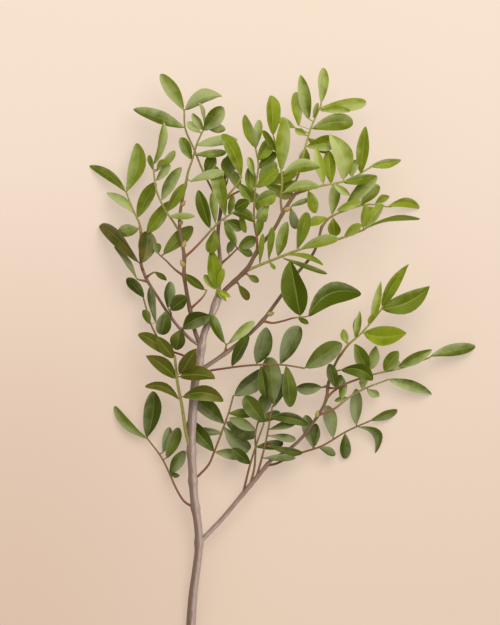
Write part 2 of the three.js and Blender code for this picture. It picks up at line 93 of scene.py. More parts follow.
WOOD = {
    "main_stem": Wood("bark", None, (3.8, 36), (3.5, 3.4, 3, 2.9, 3, 3.1, 3.3, 2.9, 2.5, 2.5), [
        (-44, -28), (-42.7, 0), (-41.3, 20), (-38.7, 40), (-37, 55), (-37.5, 70), (-40.2, 90), (-41.5, 110),
        (-42.3, 130), (-41.5, 150), (-39.5, 175), (-36.3, 190), (-33, 210), (-28.7, 220), (-25, 230),
        (-22.5, 237),
    ]),
    "right_branch": Wood("bark", "main_stem", (14, 17), (1.9, 1.6, 1.4), [
        (-37, 59), (-31, 64.5), (-20, 76), (-10, 88), (0, 100), (10, 112), (14, 117),
    ]),
    "right_shoot": Wood("young_bark", "right_branch", (17, 26), (1.3, 1.1, 0.9), [
        (12, 114.5), (15, 118), (25, 124), (36, 133), (46, 146), (54.5, 161), (57, 176), (63, 191),
        (66, 195.5),
    ], buds=[(47.8, 151, 1.5)]),
    "left_leader": Wood("young_bark", "main_stem", (32, 46), (1.6, 1.3, 1), [
        (-35.5, 201), (-38.5, 208), (-40.5, 215), (-44.5, 234), (-47.3, 252), (-47.3, 266), (-50, 281),
        (-50.5, 293), (-47.5, 311), (-45.8, 318),
    ], buds=[(-48.9, 259, 1.7), (-46.6, 273, 1.6), (-49.2, 288, 1.5), (-47.8, 302, 1.5)]),
    "left_twig": Wood("young_bark", "main_stem", (32, 26), (1.2, 1, 0.85), [
        (-36, 201), (-43, 206), (-50, 213), (-58, 223), (-67, 237), (-75.5, 251), (-79, 264), (-78.5, 284),
    ]),
    "middle_branch": Wood("young_bark", "main_stem", (29, 36), (1.6, 1.3, 0.9), [
        (-37, 183), (-28, 188.5), (-12, 200), (0, 210), (9, 219), (18, 231), (33, 252), (46, 268.5),
        (52, 288),
    ], buds=[(14.5, 222.5, 1.7)]),
    "upright_shoot": Wood("young_bark", "main_stem", (35, 48), (1.5, 1.3, 1.1), [
        (-23.5, 234), (-22.3, 243), (-21.5, 262), (-23, 282), (-20, 304), (-18, 322), (-16, 338),
    ]),
    "right_leader": Wood("young_bark", "main_stem", (35, 52), (1.7, 1.4, 1.1), [
        (-25, 230), (-19, 240), (-10, 248.5), (-2, 256.5), (4, 267), (10, 276), (17, 284.5), (25, 299),
        (33, 311),
    ], buds=[(26.5, 297.5, 1.8)]),
}
print(len(WOOD), "woody pieces")

# %% The leaves
LEAVES = {
    "leaf_low_left": Leaf("leaf_dark", "main_stem", 7, [
        (-41, 84), (-47, 88), (-53, 97), (-58, 108), (-64, 120), (-74.5, 134),
    ], [
        (-75, 134, -98.5, 157, TIP_ON_FLOOR, 7, -3), (-74.5, 135, -70, 168, 5, 13, -2),
        (-60, 120, -52, 142, 12, 10), (-63, 124, -58, 142, 9, 6), (-57.5, 108.5, -47, 125, 14, 9),
        (-57.5, 108, -51, 107, 15, 4),
    ]),
    "leaf_front_left": Leaf("leaf_mid", "main_stem", 46, [
        (-42, 125), (-46, 138), (-49, 158), (-52, 174), (-54, 194),
    ], [
        (-51.5, 163, -75.5, 172, 34, 7, 4.5), (-48, 164.5, -19, 161.5, 39, 11, 4.5),
        (-54, 178, -75, 194, 40, 10, 2), (-50, 179, -25, 177.5, 45, 11, 2), (-50, 181, -38.5, 199, 52, 11),
        (-54.8, 192.5, -67, 208, 45, 9), (-60, 195, -80.5, 210, 39, 9, 2),
    ]),
    "leaf_back_left": Leaf("leaf_dark", "main_stem", 14, [
        (-37.5, 188), (-48, 194), (-60, 199), (-70, 213), (-77, 235),
    ], [
        (-77, 236, -89, 250, 6, 8), (-68, 218, -72, 244, 12, 6), (-72.5, 217, -77, 227, 15, 6),
    ]),
    "leaf_low_centre": Leaf("leaf_dark", "main_stem", 15, [
        (-41, 103), (-30, 115), (-26, 124), (-21, 137), (-15, 154), (-12, 165),
    ], [
        (-26.5, 125, -45, 147, 13, 11), (-24.5, 124, -3, 121, 12, 8), (-19, 145, -40, 163, 16, 13),
        (-20.5, 138, -40, 141, 10, 6), (-18.5, 142, 0, 125, 11, 11, -2), (-17, 146, 4, 135, 13, 11),
        (-15, 152, 3, 152, 15, 7), (-11, 165, 13, 184, 15, 14),
    ]),
    "leaf_small_centre": Leaf("leaf_dark", "right_branch", 27, [
        (-5.5, 93.5), (-3, 103), (0, 115), (5, 131), (10, 145),
    ], [
        (0, 116, -13, 127, 24, 8), (10, 146, -4, 164.5, 29, 12),
    ]),
    "leaf_upright_centre": Leaf("leaf_dark", "right_branch", 28, [
        (5, 106), (8, 118), (11, 130), (13, 140), (16, 157),
    ], [
        (17, 159, 14, 193, 28, 14), (17.5, 157.5, 25, 181, 25, 11), (15, 149, 42, 144, 30, 8, 3),
        (15, 141, 34, 147, 26, 6), (15, 136, 33, 133, 24, 6), (15, 128, 38, 124, 23, 6),
        (11, 120, 33, 120, 23, 5),
    ]),
    "leaf_low_right": Leaf("leaf_dark", "right_branch", 6, [
        (12, 114.5), (18, 115.5), (25, 118.5), (37, 123.5), (52, 128.5), (70, 139), (87, 146.5),
    ], [
        (45.5, 128, 40, 151, 8, 9), (46, 128, 48, 145, 8, 7), (50, 127.5, 62, 122, 7, 6),
        (60, 135, 56, 158, 7, 10), (69, 137, 69, 119, 3, 8), (77, 144, 77, 170, 5, 9),
        (88, 147, 107, 154, TIP_ON_FLOOR, 7), (79, 142, 91, 123, TIP_ON_FLOOR, 7, 8),
    ]),
    "leaf_right_lower": Leaf("leaf_mid", "right_shoot", 12, [
        (50.5, 150), (60, 155), (72, 164), (84, 170.5), (100, 176.5),
    ], [
        (70, 163.5, 61, 161, 17, 4), (66, 162, 68, 177, 15, 6), (81.5, 169.5, 83, 180, 12, 6),
        (85, 169.5, 94, 164, 9, 6), (101, 176.5, 132, 165.5, TIP_ON_FLOOR, 8, 0.5),
    ]),
    "leaf_right_long": Leaf("leaf_mid", "right_shoot", 13, [
        (55, 163), (60, 168), (68, 173), (88, 180), (110, 185), (130, 192.5),
    ], [
        (85, 184, 75, 202.5, 24, 10), (87, 184, 91, 201, 22, 8), (97, 183, 107, 197, 22, 10),
        (101, 184, 108, 190, 13, 7), (108, 186, 131, 198, 17, 8),
        (131, 193.5, 163.5, 200.5, TIP_ON_FLOOR, 9, 0.5),
    ]),
    "leaflet_right_arched": Leaf("leaf_mid", "right_shoot", 28, [(60, 183), (62.5, 183), (65, 183.5)], [
        (66, 183.7, 88.8, 176.8, 27, 10.5, 4),
    ]),
    "leaflet_right_inner": Leaf("leaf_dark", "right_shoot", 25, [(56, 172), (54, 171.5), (51.5, 171)], [
        (51.5, 171, 33, 170, 25, 9),
    ]),
    "leaf_pair_right": Leaf("leaf_dark", "right_shoot", 29, [(56, 170), (60, 170.5), (62, 171)], [
        (61.5, 171.5, 57, 188, 33, 8), (62, 171.5, 66, 180, 25, 6),
    ]),
    "leaf_right_top": Leaf("leaf_bright", "right_shoot", 36, [
        (65, 194), (71, 202), (79, 209), (88, 219), (95, 228),
    ], [
        (70, 203, 67, 213, 24, 6), (77, 209, 76, 221, 31, 6), (76, 207, 79, 226, 37, 5),
        (82, 210, 113, 210.5, 29, 14, -3), (85.5, 217, 88, 224, 38, 4), (88, 219, 94, 248, 43, 6, -0.5),
        (95, 230, 114, 260, 37, 8, 1.5), (95, 227.5, 130, 244, 30, 14, -3.5),
    ]),
    "leaf_middle_right": Leaf("leaf_dark", "main_stem", 40, [
        (-38.5, 179), (-29, 183), (-20, 184.5), (0, 187), (22, 187.5), (39, 185),
    ], [
        (-13, 187, -1, 208, 42, 9), (5, 188.5, 12, 214, 43, 13), (22, 188.5, 36, 215, 44, 13),
        (40, 185.5, 66, 203, 37, 14), (8, 186, 12, 164, 40, 8), (26, 186, 29, 157, 36, 11),
    ]),
    "leaf_pair_middle": Leaf("leaf_mid", "middle_branch", 34, [(-18.5, 195.5), (-17.5, 199), (-17, 202)], [
        (-18.5, 203.5, -28.5, 224.5, 42, 7, -1), (-15, 203, 3, 218.5, 40, 7),
    ]),
    "leaf_broad_middle": Leaf("leaf_mid", "middle_branch", 48, [
        (9, 219), (16, 217.5), (24, 219), (31, 221), (40, 222),
    ], [
        (36, 223, 29, 262, 52, 18), (42, 222.5, 80, 238.5, 42, 17, 9), (35, 220.5, 42, 217, 49, 4),
    ]),
    "leaf_left_low": Leaf("leaf_dark", "left_twig", 37, [(-49, 212), (-48.5, 213), (-49, 214)], [
        (-48, 213.5, -29, 223, 42, 12, 2), (-50, 212, -53, 198, 35, 11),
    ]),
    "leaf_left_middle": Leaf("leaf_dark", "left_twig", 37, [(-57, 222), (-57, 225), (-58, 226.5)], [
        (-57, 227, -45, 236, 43, 11), (-59, 228.5, -57, 247, 43, 8), (-60, 226, -64, 209, 36, 11),
    ]),
    "leaflet_left_small": Leaf("leaf_dark", "left_twig", 32, [(-75, 250), (-71, 253), (-69, 254)], [
        (-68, 254, -60, 248, 34, 4),
    ]),
    "leaflet_left_edge": Leaf("leaf_dark", "left_twig", 28, [(-74, 248), (-79.5, 248.5), (-81, 249)], [
        (-82, 250, -98.5, 272.5, 15, 8, 0, 55),
    ]),
    "leaf_pair_left": Leaf("leaf_dark", "left_twig", 32, [(-77, 255), (-78, 257), (-79, 260)], [
        (-80.5, 261.5, -109, 289, 12, 10, 2), (-77.5, 261, -74, 284, 34, 13, -1.5),
    ]),
    "leaf_left_tip": Leaf("leaf_mid", "left_twig", 15, [
        (-78.5, 283), (-80, 290), (-84, 298), (-89.5, 312),
    ], [
        (-90.5, 313, -116.5, 331.5, TIP_ON_FLOOR, 7, 2.5), (-89, 313, -81.5, 347.5, 12, 12, -4),
        (-84.2, 297.4, -104, 311.8, 10, 7, 1.5), (-81, 294, -68, 319, 21, 10),
        (-80.5, 285.5, -96, 283, 17, 9), (-74, 282, -58, 305, 27, 10),
    ]),
    "leaf_behind_leader": Leaf("leaf_dark", "left_leader", 35, [
        (-47.3, 251), (-54, 256), (-60, 262), (-65, 266.5),
    ], [
        (-62, 267, -41, 287, 34, 11), (-66, 267.5, -68, 275, 37, 6),
    ]),
    "leaf_small_fork": Leaf("leaf_mid", "left_leader", 42, [
        (-43, 227), (-38, 232), (-34, 236), (-31, 241),
    ], [
        (-33, 241.5, -47, 252.5, 47, 6),
    ]),
    "leaf_upper_left": Leaf("leaf_mid", "left_leader", 42, [
        (-50, 282), (-55, 290), (-61, 299), (-67, 312), (-69.5, 329),
    ], [
        (-57.5, 294, -40, 294, 54, 5), (-59.5, 298, -47, 317.5, 53, 8), (-63.1, 306.2, -49, 329, 48, 9),
        (-67, 320, -57, 331, 45, 6), (-66.5, 327, -57, 333.5, 51, 4, 3),
        (-69.5, 331, -61, 361, 46, 8, -1.5, 45), (-64, 328, -54, 341, 48, 6), (-70, 328, -72, 338, 45, 4),
    ]),
    "leaf_top_left": Leaf("leaf_mid", "left_leader", 55, [
        (-46.2, 316.5), (-44, 327), (-41.5, 334), (-37.5, 347), (-32, 358.5),
    ], [
        (-42.5, 319, -18.5, 325.5, 57, 6.5, 1), (-39, 338, -17, 340, 52, 6), (-37.5, 345, -9, 349.5, 53, 8),
        (-33, 355.5, -19, 371.5, 59, 11.5), (-35.8, 354, -45, 361, 57, 6), (-34, 356, -41, 367.5, 59, 6),
        (-31.5, 358.5, -17.5, 356, 54, 7), (-32.5, 360, -36, 375, 60, 6, 0, 60),
        (-42, 335, -50, 350, 55, 8),
    ]),
    "leaf_top_left_tall": Leaf("leaf_mid", "upright_shoot", 40, [
        (-20.5, 301), (-26, 311), (-34, 327), (-40.5, 343), (-46.5, 357), (-47.3, 370),
    ], [
        (-48, 371, -64.5, 397, 34, 10), (-46.5, 371, -20, 381, 40, 11, 3),
        (-48, 358, -84, 371, 30, 10, 0.5), (-32, 325, -25, 337, 47, 9),
    ]),
    "leaf_crossing": Leaf("leaf_mid", "left_leader", 58, [
        (-47.3, 264), (-42, 269), (-36, 275), (-25, 287), (-17, 293.5), (0, 303.5),
    ], [
        (-29, 286, -37, 312.5, 54, 9), (-25, 290, -27, 311, 56, 6), (-25.3, 284.3, -28.5, 267.5, 48, 9),
        (-18, 295, -25.5, 330, 50, 10), (-18, 290, -10, 273, 50, 6), (-12, 296, 3, 290, 58, 8, 2),
        (-7, 296, -3, 282, 55, 5), (-11, 299, -1, 305, 61, 8), (-17, 290.5, -5, 285.5, 52, 8),
        (-15, 295.5, -12, 309, 59, 5),
    ]),
    "leaf_small_inner": Leaf("leaf_dark", "upright_shoot", 41, [(-21.5, 260), (-14, 266), (-9, 271)], [
        (-16, 268, -11, 277, 45, 6), (-8, 271.5, 4, 279, 37, 9), (-11, 274, -15, 285, 43, 4),
        (-8, 270, 2, 266.5, 37, 6),
    ]),
    "leaf_bright_inner": Leaf("leaf_bright", "upright_shoot", 54, [
        (-20, 304), (-14, 311), (-9, 317), (-6, 322),
    ], [
        (-6.5, 323, -20, 352, 68, 11, 2),
    ]),
    "leaflet_dark_inner": Leaf("leaf_dark", "upright_shoot", 52, [(-18.5, 315), (-17, 317), (-16, 320)], [
        (-16, 321, -14, 336, 57, 11),
    ]),
    "young_sprouts": Leaf("leaf_bright", "main_stem", 43, [
        (-25, 231), (-25, 235), (-24, 240), (-23.5, 242),
    ], [
        (-24, 242.5, -28, 270, 42, 10), (-25, 242, -33, 252, 43, 6), (-23, 243, -19, 256, 48, 5),
        (-22, 241, -14, 236, 44, 4), (-23, 240, -17, 233, 44, 3),
    ]),
    "leaf_long_right": Leaf("leaf_mid", "right_leader", 46, [
        (-3, 255), (8, 259.5), (22, 265), (38, 271), (63, 277.5), (82, 284.5),
    ], [
        (37, 271, 63, 278, 52, 8, 1), (34, 271, 41, 297, 53, 9), (20, 266, 27, 290, 52, 9),
        (13.5, 264, 16, 286, 53, 5), (7, 261, 9, 281, 52, 4), (27, 266.5, 52.5, 259, 41, 4, 2.5),
        (24, 264, 55.5, 253, 40, 4), (14, 261, 18, 256, 42, 3), (68, 280, 80, 288, 48, 7),
        (81, 286, 83, 303, 45, 6), (83, 286, 96, 302.5, 42, 8), (83.5, 285.5, 123, 290.5, 32, 6, 5, 50),
    ]),
    "leaflet_fork_upper": Leaf("leaf_dark", "right_leader", 40, [(-5, 253.5), (-2, 252.5), (-1, 251.5)], [
        (-1, 251.5, 6.5, 247, 38, 5),
    ]),
    "leaflet_fork_lower": Leaf("leaf_dark", "right_leader", 38, [(-11, 247.5), (-8.5, 246), (-8, 244.5)], [
        (-8, 244.5, -1, 234, 35, 6),
    ]),
    "leaflet_dark_bud": Leaf("leaf_dark", "right_leader", 48, [(25, 299), (28, 300.5), (29.5, 300)], [
        (29.5, 299.5, 33.5, 285, 43, 7), (30, 301.5, 44, 306.5, 47, 4),
    ]),
    "leaf_far_right": Leaf("leaf_bright", "middle_branch", 13, [
        (51.5, 286), (57, 293), (70, 299), (85, 303), (99, 301.5),
    ], [
        (59, 296, 62, 318, 34, 8), (60, 292.5, 61, 280, 30, 9), (69, 301, 91, 324, 27, 10),
        (55, 293, 41, 288, 35, 7), (63, 298.5, 80, 305, 30, 6), (80, 303, 93, 317, 20, 8),
        (82, 301, 95, 297, 19, 5), (91, 304, 101, 309, 14, 6), (100, 301.5, 123, 301, TIP_ON_FLOOR, 7, 4),
    ]),
    "leaf_upper_right": Leaf("leaf_bright", "right_leader", 41, [
        (32, 309.5), (40, 312.5), (50, 315.5), (70, 320), (87, 329.5),
    ], [
        (67, 320.5, 57, 352.5, 52, 13.5, 5), (79.5, 325.5, 82.5, 358, 46, 9), (87, 330, 108.5, 335, 34, 7),
        (42, 311.5, 47, 296, 45, 8), (52.5, 318, 47, 344, 50, 7), (60, 317, 72, 309, 42, 5),
        (73, 322.5, 76, 335, 43, 7), (67, 318.6, 91, 323.5, 36, 7), (58, 318, 56.5, 341, 45, 9),
    ]),
    "leaf_bright_upright": Leaf("leaf_bright", "right_leader", 63, [
        (23.5, 296.5), (22, 305), (23, 318), (21.5, 332), (17, 350),
    ], [
        (22.5, 327, 25, 363.5, 68, 10), (16.5, 352, 15, 380, 64, 11), (24, 323.5, 50, 329, 62, 10, 3),
        (24.5, 311, 49.5, 315, 60, 7.5, 3), (19, 340, 8.5, 354.5, 77, 5),
    ]),
    "leaf_inner_upright": Leaf("leaf_mid", "right_leader", 66, [
        (5, 268.5), (5, 277), (3, 290), (3, 302), (4, 315), (6, 330), (4, 342),
    ], [
        (3.5, 343, -4, 366, 70, 8), (6, 334, 15, 348.5, 62, 10), (6, 328, 19, 339, 60, 8),
        (5, 314.5, 20, 328, 56, 10), (0, 309, 0, 329, 52, 8), (3, 323, -1, 336, 60, 5),
        (4, 304, 18.5, 310, 55, 11), (4.8, 344, 6.5, 362.5, 67, 6), (5.5, 280, 8.5, 294, 57, 6),
        (4.4, 292.3, 13, 303, 53, 7), (2, 304, -7, 317, 56, 7),
    ]),
    "leaf_top_right": Leaf("leaf_bright", "right_leader", 45, [
        (29, 305), (30, 312), (35, 325), (40, 345), (44, 358), (51, 374),
    ], [
        (45, 357, 74, 362, 38, 12, 2), (50.5, 371.5, 84, 376, 33, 9), (51, 370, 72, 370, 44, 6),
        (51, 376, 53, 401, 41, 8), (35, 359, 33, 383, 50, 8), (42, 364, 36, 394.5, 52, 9),
        (40, 352, 32, 356, 52, 5), (45.5, 365, 49, 375, 52, 4), (40, 342.5, 38.5, 330.5, 43, 8),
        (41, 344, 62, 348, 40, 11), (32, 357.5, 20.5, 363.5, 56, 6), (42, 350, 57, 339, 38, 7),
    ]),
    "leaf_shaded_crown": Leaf("leaf_mid", "upright_shoot", 30, [
        (-20, 304), (-12, 310), (-3, 314), (8, 317), (20, 319),
    ], [
        (7, 317.5, 18, 334, 30, 10), (13, 319, 34, 325, 29, 8), (11, 317, 31, 309, 27, 9),
        (1, 314, 12, 290, 27, 8), (-7, 313.5, -15, 327, 37, 8), (21, 319, 41, 313, 24, 8),
    ]),
    "leaf_low_inner": Leaf("leaf_dark", "right_branch", 21, [
        (0, 99.5), (3, 112), (4, 125), (4, 138), (7, 150),
    ], [
        (7.5, 151, 15, 168, 21, 10), (3.5, 140, -15, 149, 20, 8), (6, 146, 22, 153, 19, 7),
        (5, 128, 24, 131, 17, 7),
    ]),
}
print(len(LEAVES), "leaves with", sum(len(leaf.leaflets) for leaf in LEAVES.values()), "leaflets")

# %% [markdown]
# ## Lines that grow
# A branch never bends sharply, so its points are joined by a Catmull-Rom curve, which passes through each
# of them. The curve is then cut into even steps and lifted from the height of its foot to that of its end.
# A side piece starts in the middle of its carrier.

# %% Smooth lines through the points
FINE_STEPS = 12  # places from one point to the next, before the curve is cut evenly
STEP = 1.5  # mm between the even places
FEWEST_STEPS = 6
MOST_CLEAR = 0.8  # the largest share of a line that is kept clear


def smooth(points, steps):
    """Evenly spaced places on the centripetal Catmull-Rom curve through the points."""
    places = [Vector(p).to_3d() for p in points]
    places = [2 * places[0] - places[1], *places, 2 * places[-1] - places[-2]]
    dense = [places[1]]
    for a, b, c, d in zip(places, places[1:], places[2:], places[3:]):
        ab, bc, cd = (math.sqrt((q - p).length) for p, q in ((a, b), (b, c), (c, d)))
        leave = bc * ((b - a) / ab - (c - a) / (ab + bc) + (c - b) / bc)
        arrive = bc * ((c - b) / bc - (d - b) / (bc + cd) + (d - c) / cd)
        for i in range(1, FINE_STEPS + 1):
            t = i / FINE_STEPS
            cubic = (2 * t**3 - 3 * t**2 + 1) * b + (3 * t**2 - 2 * t**3) * c
            dense.append(cubic + (t**3 - 2 * t**2 + t) * leave + (t**3 - t**2) * arrive)
    lengths = [0.0]
    for p, q in zip(dense, dense[1:]):
        lengths.append(lengths[-1] + (q - p).length)
    line, k = [], 0
    for i in range(steps + 1):
        goal = lengths[-1] * i / steps
        while k < len(dense) - 2 and lengths[k + 1] < goal:
            k += 1
        line.append(dense[k].lerp(dense[k + 1], (goal - lengths[k]) / (lengths[k + 1] - lengths[k])))
    return line


def nearest(line, x, y, clear=0.0):
    """The place on a line nearest to a point of the plan, clear of the line's first stretch."""
    first = min(clear / ((line[1] - line[0]).length * (len(line) - 1)), MOST_CLEAR)
    places = line[math.ceil(first * (len(line) - 1)):]
    return min(places, key=lambda place: math.hypot(place.x - x, place.y - y)).copy()


def grow(piece, low, high):
    """A piece's line in the plan, from the middle of its carrier."""
    points = list(piece.points)
    if piece.carrier:
        seat = nearest(wood_lines[piece.carrier], *points[0])
        points[0], low = (seat.x, seat.y), seat.z
    span = sum(math.dist(p, q) for p, q in zip(points, points[1:]))
    line = smooth(points, max(FEWEST_STEPS, round(span / STEP)))
    for i, place in enumerate(line):
        place.z = low + (high - low) * i / (len(line) - 1)
    return line


wood_lines = {}
for name, piece in WOOD.items():
    wood_lines[name] = grow(piece, *piece.ends)
leaf_lines = {name: grow(piece, None, piece.high) for name, piece in LEAVES.items()}
print("longest line", max(len(line) for line in wood_lines.values()), "places")

# %% [markdown]
# ## Small helpers for node trees
# Both geometry and materials are built as node trees here. `put` adds a node and sets it up, and `feed` fills
# its sockets: a value is written into the socket, and another node's socket is linked to it.


# %% Helpers for node trees
def feed(tree, node, sockets):
    """Values written into a node's sockets, or other sockets linked to them, by name or by number."""
    for key, value in sockets.items():
        if isinstance(value, bpy.types.NodeSocket):
            tree.links.new(value, node.inputs[key])
        else:
            node.inputs[key].default_value = value


def put(tree, kind, sockets=None, **settings):
    """A new node, with its settings made and its sockets fed."""
    node = tree.nodes.new(kind)
    for key, value in settings.items():
        setattr(node, key, value)
    feed(tree, node, sockets or {})
    return node


def calc(tree, operation, *values):
    """The result of a Math node."""
    return put(tree, "ShaderNodeMath", dict(enumerate(values)), operation=operation).outputs[0]


def vector(tree, operation, *values):
    """The result of a Vector Math node."""
    return put(tree, "ShaderNodeVectorMath", dict(enumerate(values)), operation=operation).outputs[0]


def named(tree, name, data_type="FLOAT"):
    """A named attribute, inside a geometry tree."""
    return put(tree, "GeometryNodeInputNamedAttribute", {"Name": name}, data_type=data_type).outputs[0]


def geometry_tree(name, inputs):
    """An empty geometry tree with named inputs, and its input and output nodes."""
    tree = bpy.data.node_groups.new(name, "GeometryNodeTree")
    tree.interface.new_socket("Geometry", in_out="INPUT", socket_type="NodeSocketGeometry")
    for label, kind in inputs:
        tree.interface.new_socket(label, in_out="INPUT", socket_type=kind)
    tree.interface.new_socket("Geometry", in_out="OUTPUT", socket_type="NodeSocketGeometry")
    return tree, tree.nodes.new("NodeGroupInput"), tree.nodes.new("NodeGroupOutput")


def run_tree(name, mesh, tree, values):
    """The plain mesh that a tree makes of a mesh, as an object at the origin."""
    source = bpy.data.objects.new(name + "_source", mesh)
    bpy.context.scene.collection.objects.link(source)
    modifier = source.modifiers.new("grow", "NODES")
    modifier.node_group = tree
    sockets = {s.name: s.identifier for s in tree.interface.items_tree if s.in_out == "INPUT"}
    for label, value in values.items():
        modifier[sockets[label]] = value
    evaluated = source.evaluated_get(bpy.context.evaluated_depsgraph_get())
    made = bpy.data.meshes.new_from_object(evaluated)
    bpy.data.objects.remove(source)
    piece = bpy.data.objects.new(name, made)
    bpy.context.scene.collection.objects.link(piece)
    return piece


def attribute(mesh, name, kind, values, domain="POINT"):
    """A named attribute on a mesh's points or faces: one number, or one vector, for each."""
    layer = mesh.attributes.new(name, kind, domain)
    if kind == "FLOAT_VECTOR":
        layer.data.foreach_set("vector", [c for value in values for c in value])
    else:
        layer.data.foreach_set("value", list(values))


print("helpers ready")

# %% [markdown]
# ## Colours and finishes
# Colours are written as the eye reads them, on a scale of 0 to 255, and turned into the linear light that
# shaders work with. Bark is built from stretched noise that follows the branch: `rim` is the direction around
# the branch and `along` the way along it, both stored on the mesh by the trees below.

# %% Colour helpers
MIX_A, MIX_B, MIX_RESULT = 6, 7, 2  # which of the Mix node's sockets are for colours


def colour(*tone):
    """A colour as the eye reads it, as linear light."""
    linear = [c / 255 / 12.92 if c < 11 else ((c / 255 + 0.055) / 1.055) ** 2.4 for c in tone]
    return (*linear, 1.0)


def material(name):
    """A new material with its tree and its Principled shader."""
    made = bpy.data.materials.new(name)
    made.use_nodes = True
    shader = made.node_tree.nodes["Principled BSDF"]
    return made, made.node_tree, shader


def read(tree, name, output="Fac"):
    """A mesh attribute, inside a material."""
    return put(tree, "ShaderNodeAttribute", attribute_name=name).outputs[output]


def blend(tree, factor, first, second):
    """Two colours mixed by a factor."""
    node = put(tree, "ShaderNodeMix", {0: factor, MIX_A: first, MIX_B: second}, data_type="RGBA")
    return node.outputs[MIX_RESULT]


def coat(tree, base, tone, mask, strength):
    """A colour with a coat of another, as far as a mask and a strength allow."""
    return blend(tree, calc(tree, "MULTIPLY", mask, strength), base, tone)


def window(tree, value, low, high):
    """A smooth step from 0 at `low` to 1 at `high`."""
    node = put(tree, "ShaderNodeMapRange", {"Value": value, "From Min": low, "From Max": high},
               interpolation_type="SMOOTHSTEP")
    return node.outputs["Result"]


def noise(tree, where, scale, detail=3.0):
    """Noise between 0 and 1."""
    return put(tree, "ShaderNodeTexNoise", {"Vector": where, "Scale": scale, "Detail": detail}).outputs[0]


def bumped(tree, shader, height, distance, strength=0.6):
    """Fine relief on a shader."""
    node = put(tree, "ShaderNodeBump", {"Height": height, "Distance": distance, "Strength": strength})
    feed(tree, shader, {"Normal": node.outputs[0]})


def skin(tree, around, along):
    """Coordinates wrapped round a branch, stretched by the two factors."""
    rim = put(tree, "ShaderNodeSeparateXYZ", {0: read(tree, "rim", "Vector")})
    x, y = (calc(tree, "MULTIPLY", rim.outputs[i], around) for i in (0, 1))
    z = calc(tree, "MULTIPLY", read(tree, "along"), along)
    return put(tree, "ShaderNodeCombineXYZ", {0: x, 1: y, 2: z}).outputs[0]


print("sample of leaf green, linear", [round(c, 3) for c in colour(62, 88, 48)])


# %% Bark of the old wood and of the young shoots
def bark(name, tones, relief, roughness):
    """Streaked bark with patches and pores, from `foot` to `tip`, and a browner tone with painted shade on
    its left side.
    """
    pale, deep, foot, tip, left_brown_and_shade = (colour(*tone) for tone in tones)
    made, tree, shader = material(name)
    facing = put(tree, "ShaderNodeTexCoord").outputs["Normal"]
    rightward = put(tree, "ShaderNodeSeparateXYZ", {0: facing}).outputs[0]
    youth = read(tree, "youth")
    streaks = noise(tree, skin(tree, 3.0, 130.0), 1.6, 4.0)
    patches = noise(tree, skin(tree, 0.9, 40.0), 1.0, 2.0)
    pores = put(tree, "ShaderNodeTexVoronoi", {"Vector": skin(tree, 2.0, 420.0), "Scale": 1.0})
    pore = calc(tree, "SUBTRACT", 1.0, window(tree, pores.outputs["Distance"], 0.12, 0.26))
    base = blend(tree, window(tree, streaks, 0.36, 0.66), deep, pale)
    base = coat(tree, base, pale, window(tree, patches, 0.45, 0.7), 0.45)
    base = coat(tree, base, deep, pore, 0.5)
    base = coat(tree, base, foot, window(tree, youth, 0.55, 0.0), 0.75)
    base = coat(tree, base, deep, window(tree, streaks, 0.6, 0.3), 0.25)
    base = blend(tree, window(tree, youth, 0.5, 1.0), base, tip)
    # painted shade on the wood's left side, together with a browner bark tone there
    left_brown_and_shade_mask = window(tree, calc(tree, "MULTIPLY_ADD", streaks, 0.5, rightward), 0.6, 0.0)
    base = coat(tree, base, left_brown_and_shade, left_brown_and_shade_mask, calc(tree, "MULTIPLY_ADD", youth, -0.3, 0.8))  # most on old wood
    base = blend(tree, window(tree, youth, 1.2, 1.8), base, BUD)
    bumped(tree, shader, calc(tree, "ADD", streaks, calc(tree, "MULTIPLY", pore, 0.5)), relief)
    rough = calc(tree, "MULTIPLY_ADD", streaks, 0.2, roughness - 0.1)
    feed(tree, shader, {"Base Color": base, "Roughness": rough})
    return made


BUD = colour(172, 146, 82)
# tones: pale, deep, foot, tip, and the left side's browner tone with painted shade
BARK = bark("bark", [
    (216, 197, 190), (168, 146, 137), (178, 156, 145), (132, 104, 82), (110, 84, 64),
], 0.00015, 0.7)
YOUNG_BARK = bark("young_bark", [
    (134, 100, 74), (94, 65, 46), (190, 166, 150), (124, 102, 56), (108, 80, 58),
], 0.00012, 0.6)
print("made", BARK.name, "and", YOUNG_BARK.name)


# %% The cut face
def cut_wood(middle):
    """Fresh wood: a pale disc with faint rings, a small brown pith and a darker rim under the bark."""
    made, tree, shader = material("cut_wood")
    place = put(tree, "ShaderNodeTexCoord").outputs["Object"]
    away = put(tree, "ShaderNodeVectorMath", {0: place, 1: middle}, operation="DISTANCE").outputs["Value"]
    rings = calc(tree, "SINE", calc(tree, "MULTIPLY", away, 9000.0))
    ringed = calc(tree, "MULTIPLY_ADD", rings, 0.15, 0.2)
    base = blend(tree, ringed, colour(214, 190, 150), colour(180, 148, 106))
    base = blend(tree, window(tree, away, 0.0008, 0.0004), base, colour(130, 92, 62))
    base = blend(tree, window(tree, away, 0.0028, 0.0033), base, colour(120, 96, 78))
    grain = noise(tree, place, 3000.0)
    base = coat(tree, base, colour(160, 130, 96), grain, 0.3)
    bumped(tree, shader, grain, 0.0002)
    feed(tree, shader, {"Base Color": base, "Roughness": 0.85})
    return made


CUT_WOOD = cut_wood(PLAN + wood_lines["main_stem"][0] * MM)
print("made", CUT_WOOD.name)

# %% [markdown]
# ## The wood
# A branch is a round profile swept along its line. Geometry Nodes do this with Curve to Mesh, which takes a
# radius at each place, so the taper, the swelling under each side piece and the rounded end are just numbers
# on the line. A little noise along the normals keeps the outline from looking drawn with a ruler.

# %% A tree that sweeps and roughens a branch
WOOD_SIDES = 18
BARK_RELIEF = 0.00022
YOUNG_RELIEF = 0.5 * BARK_RELIEF


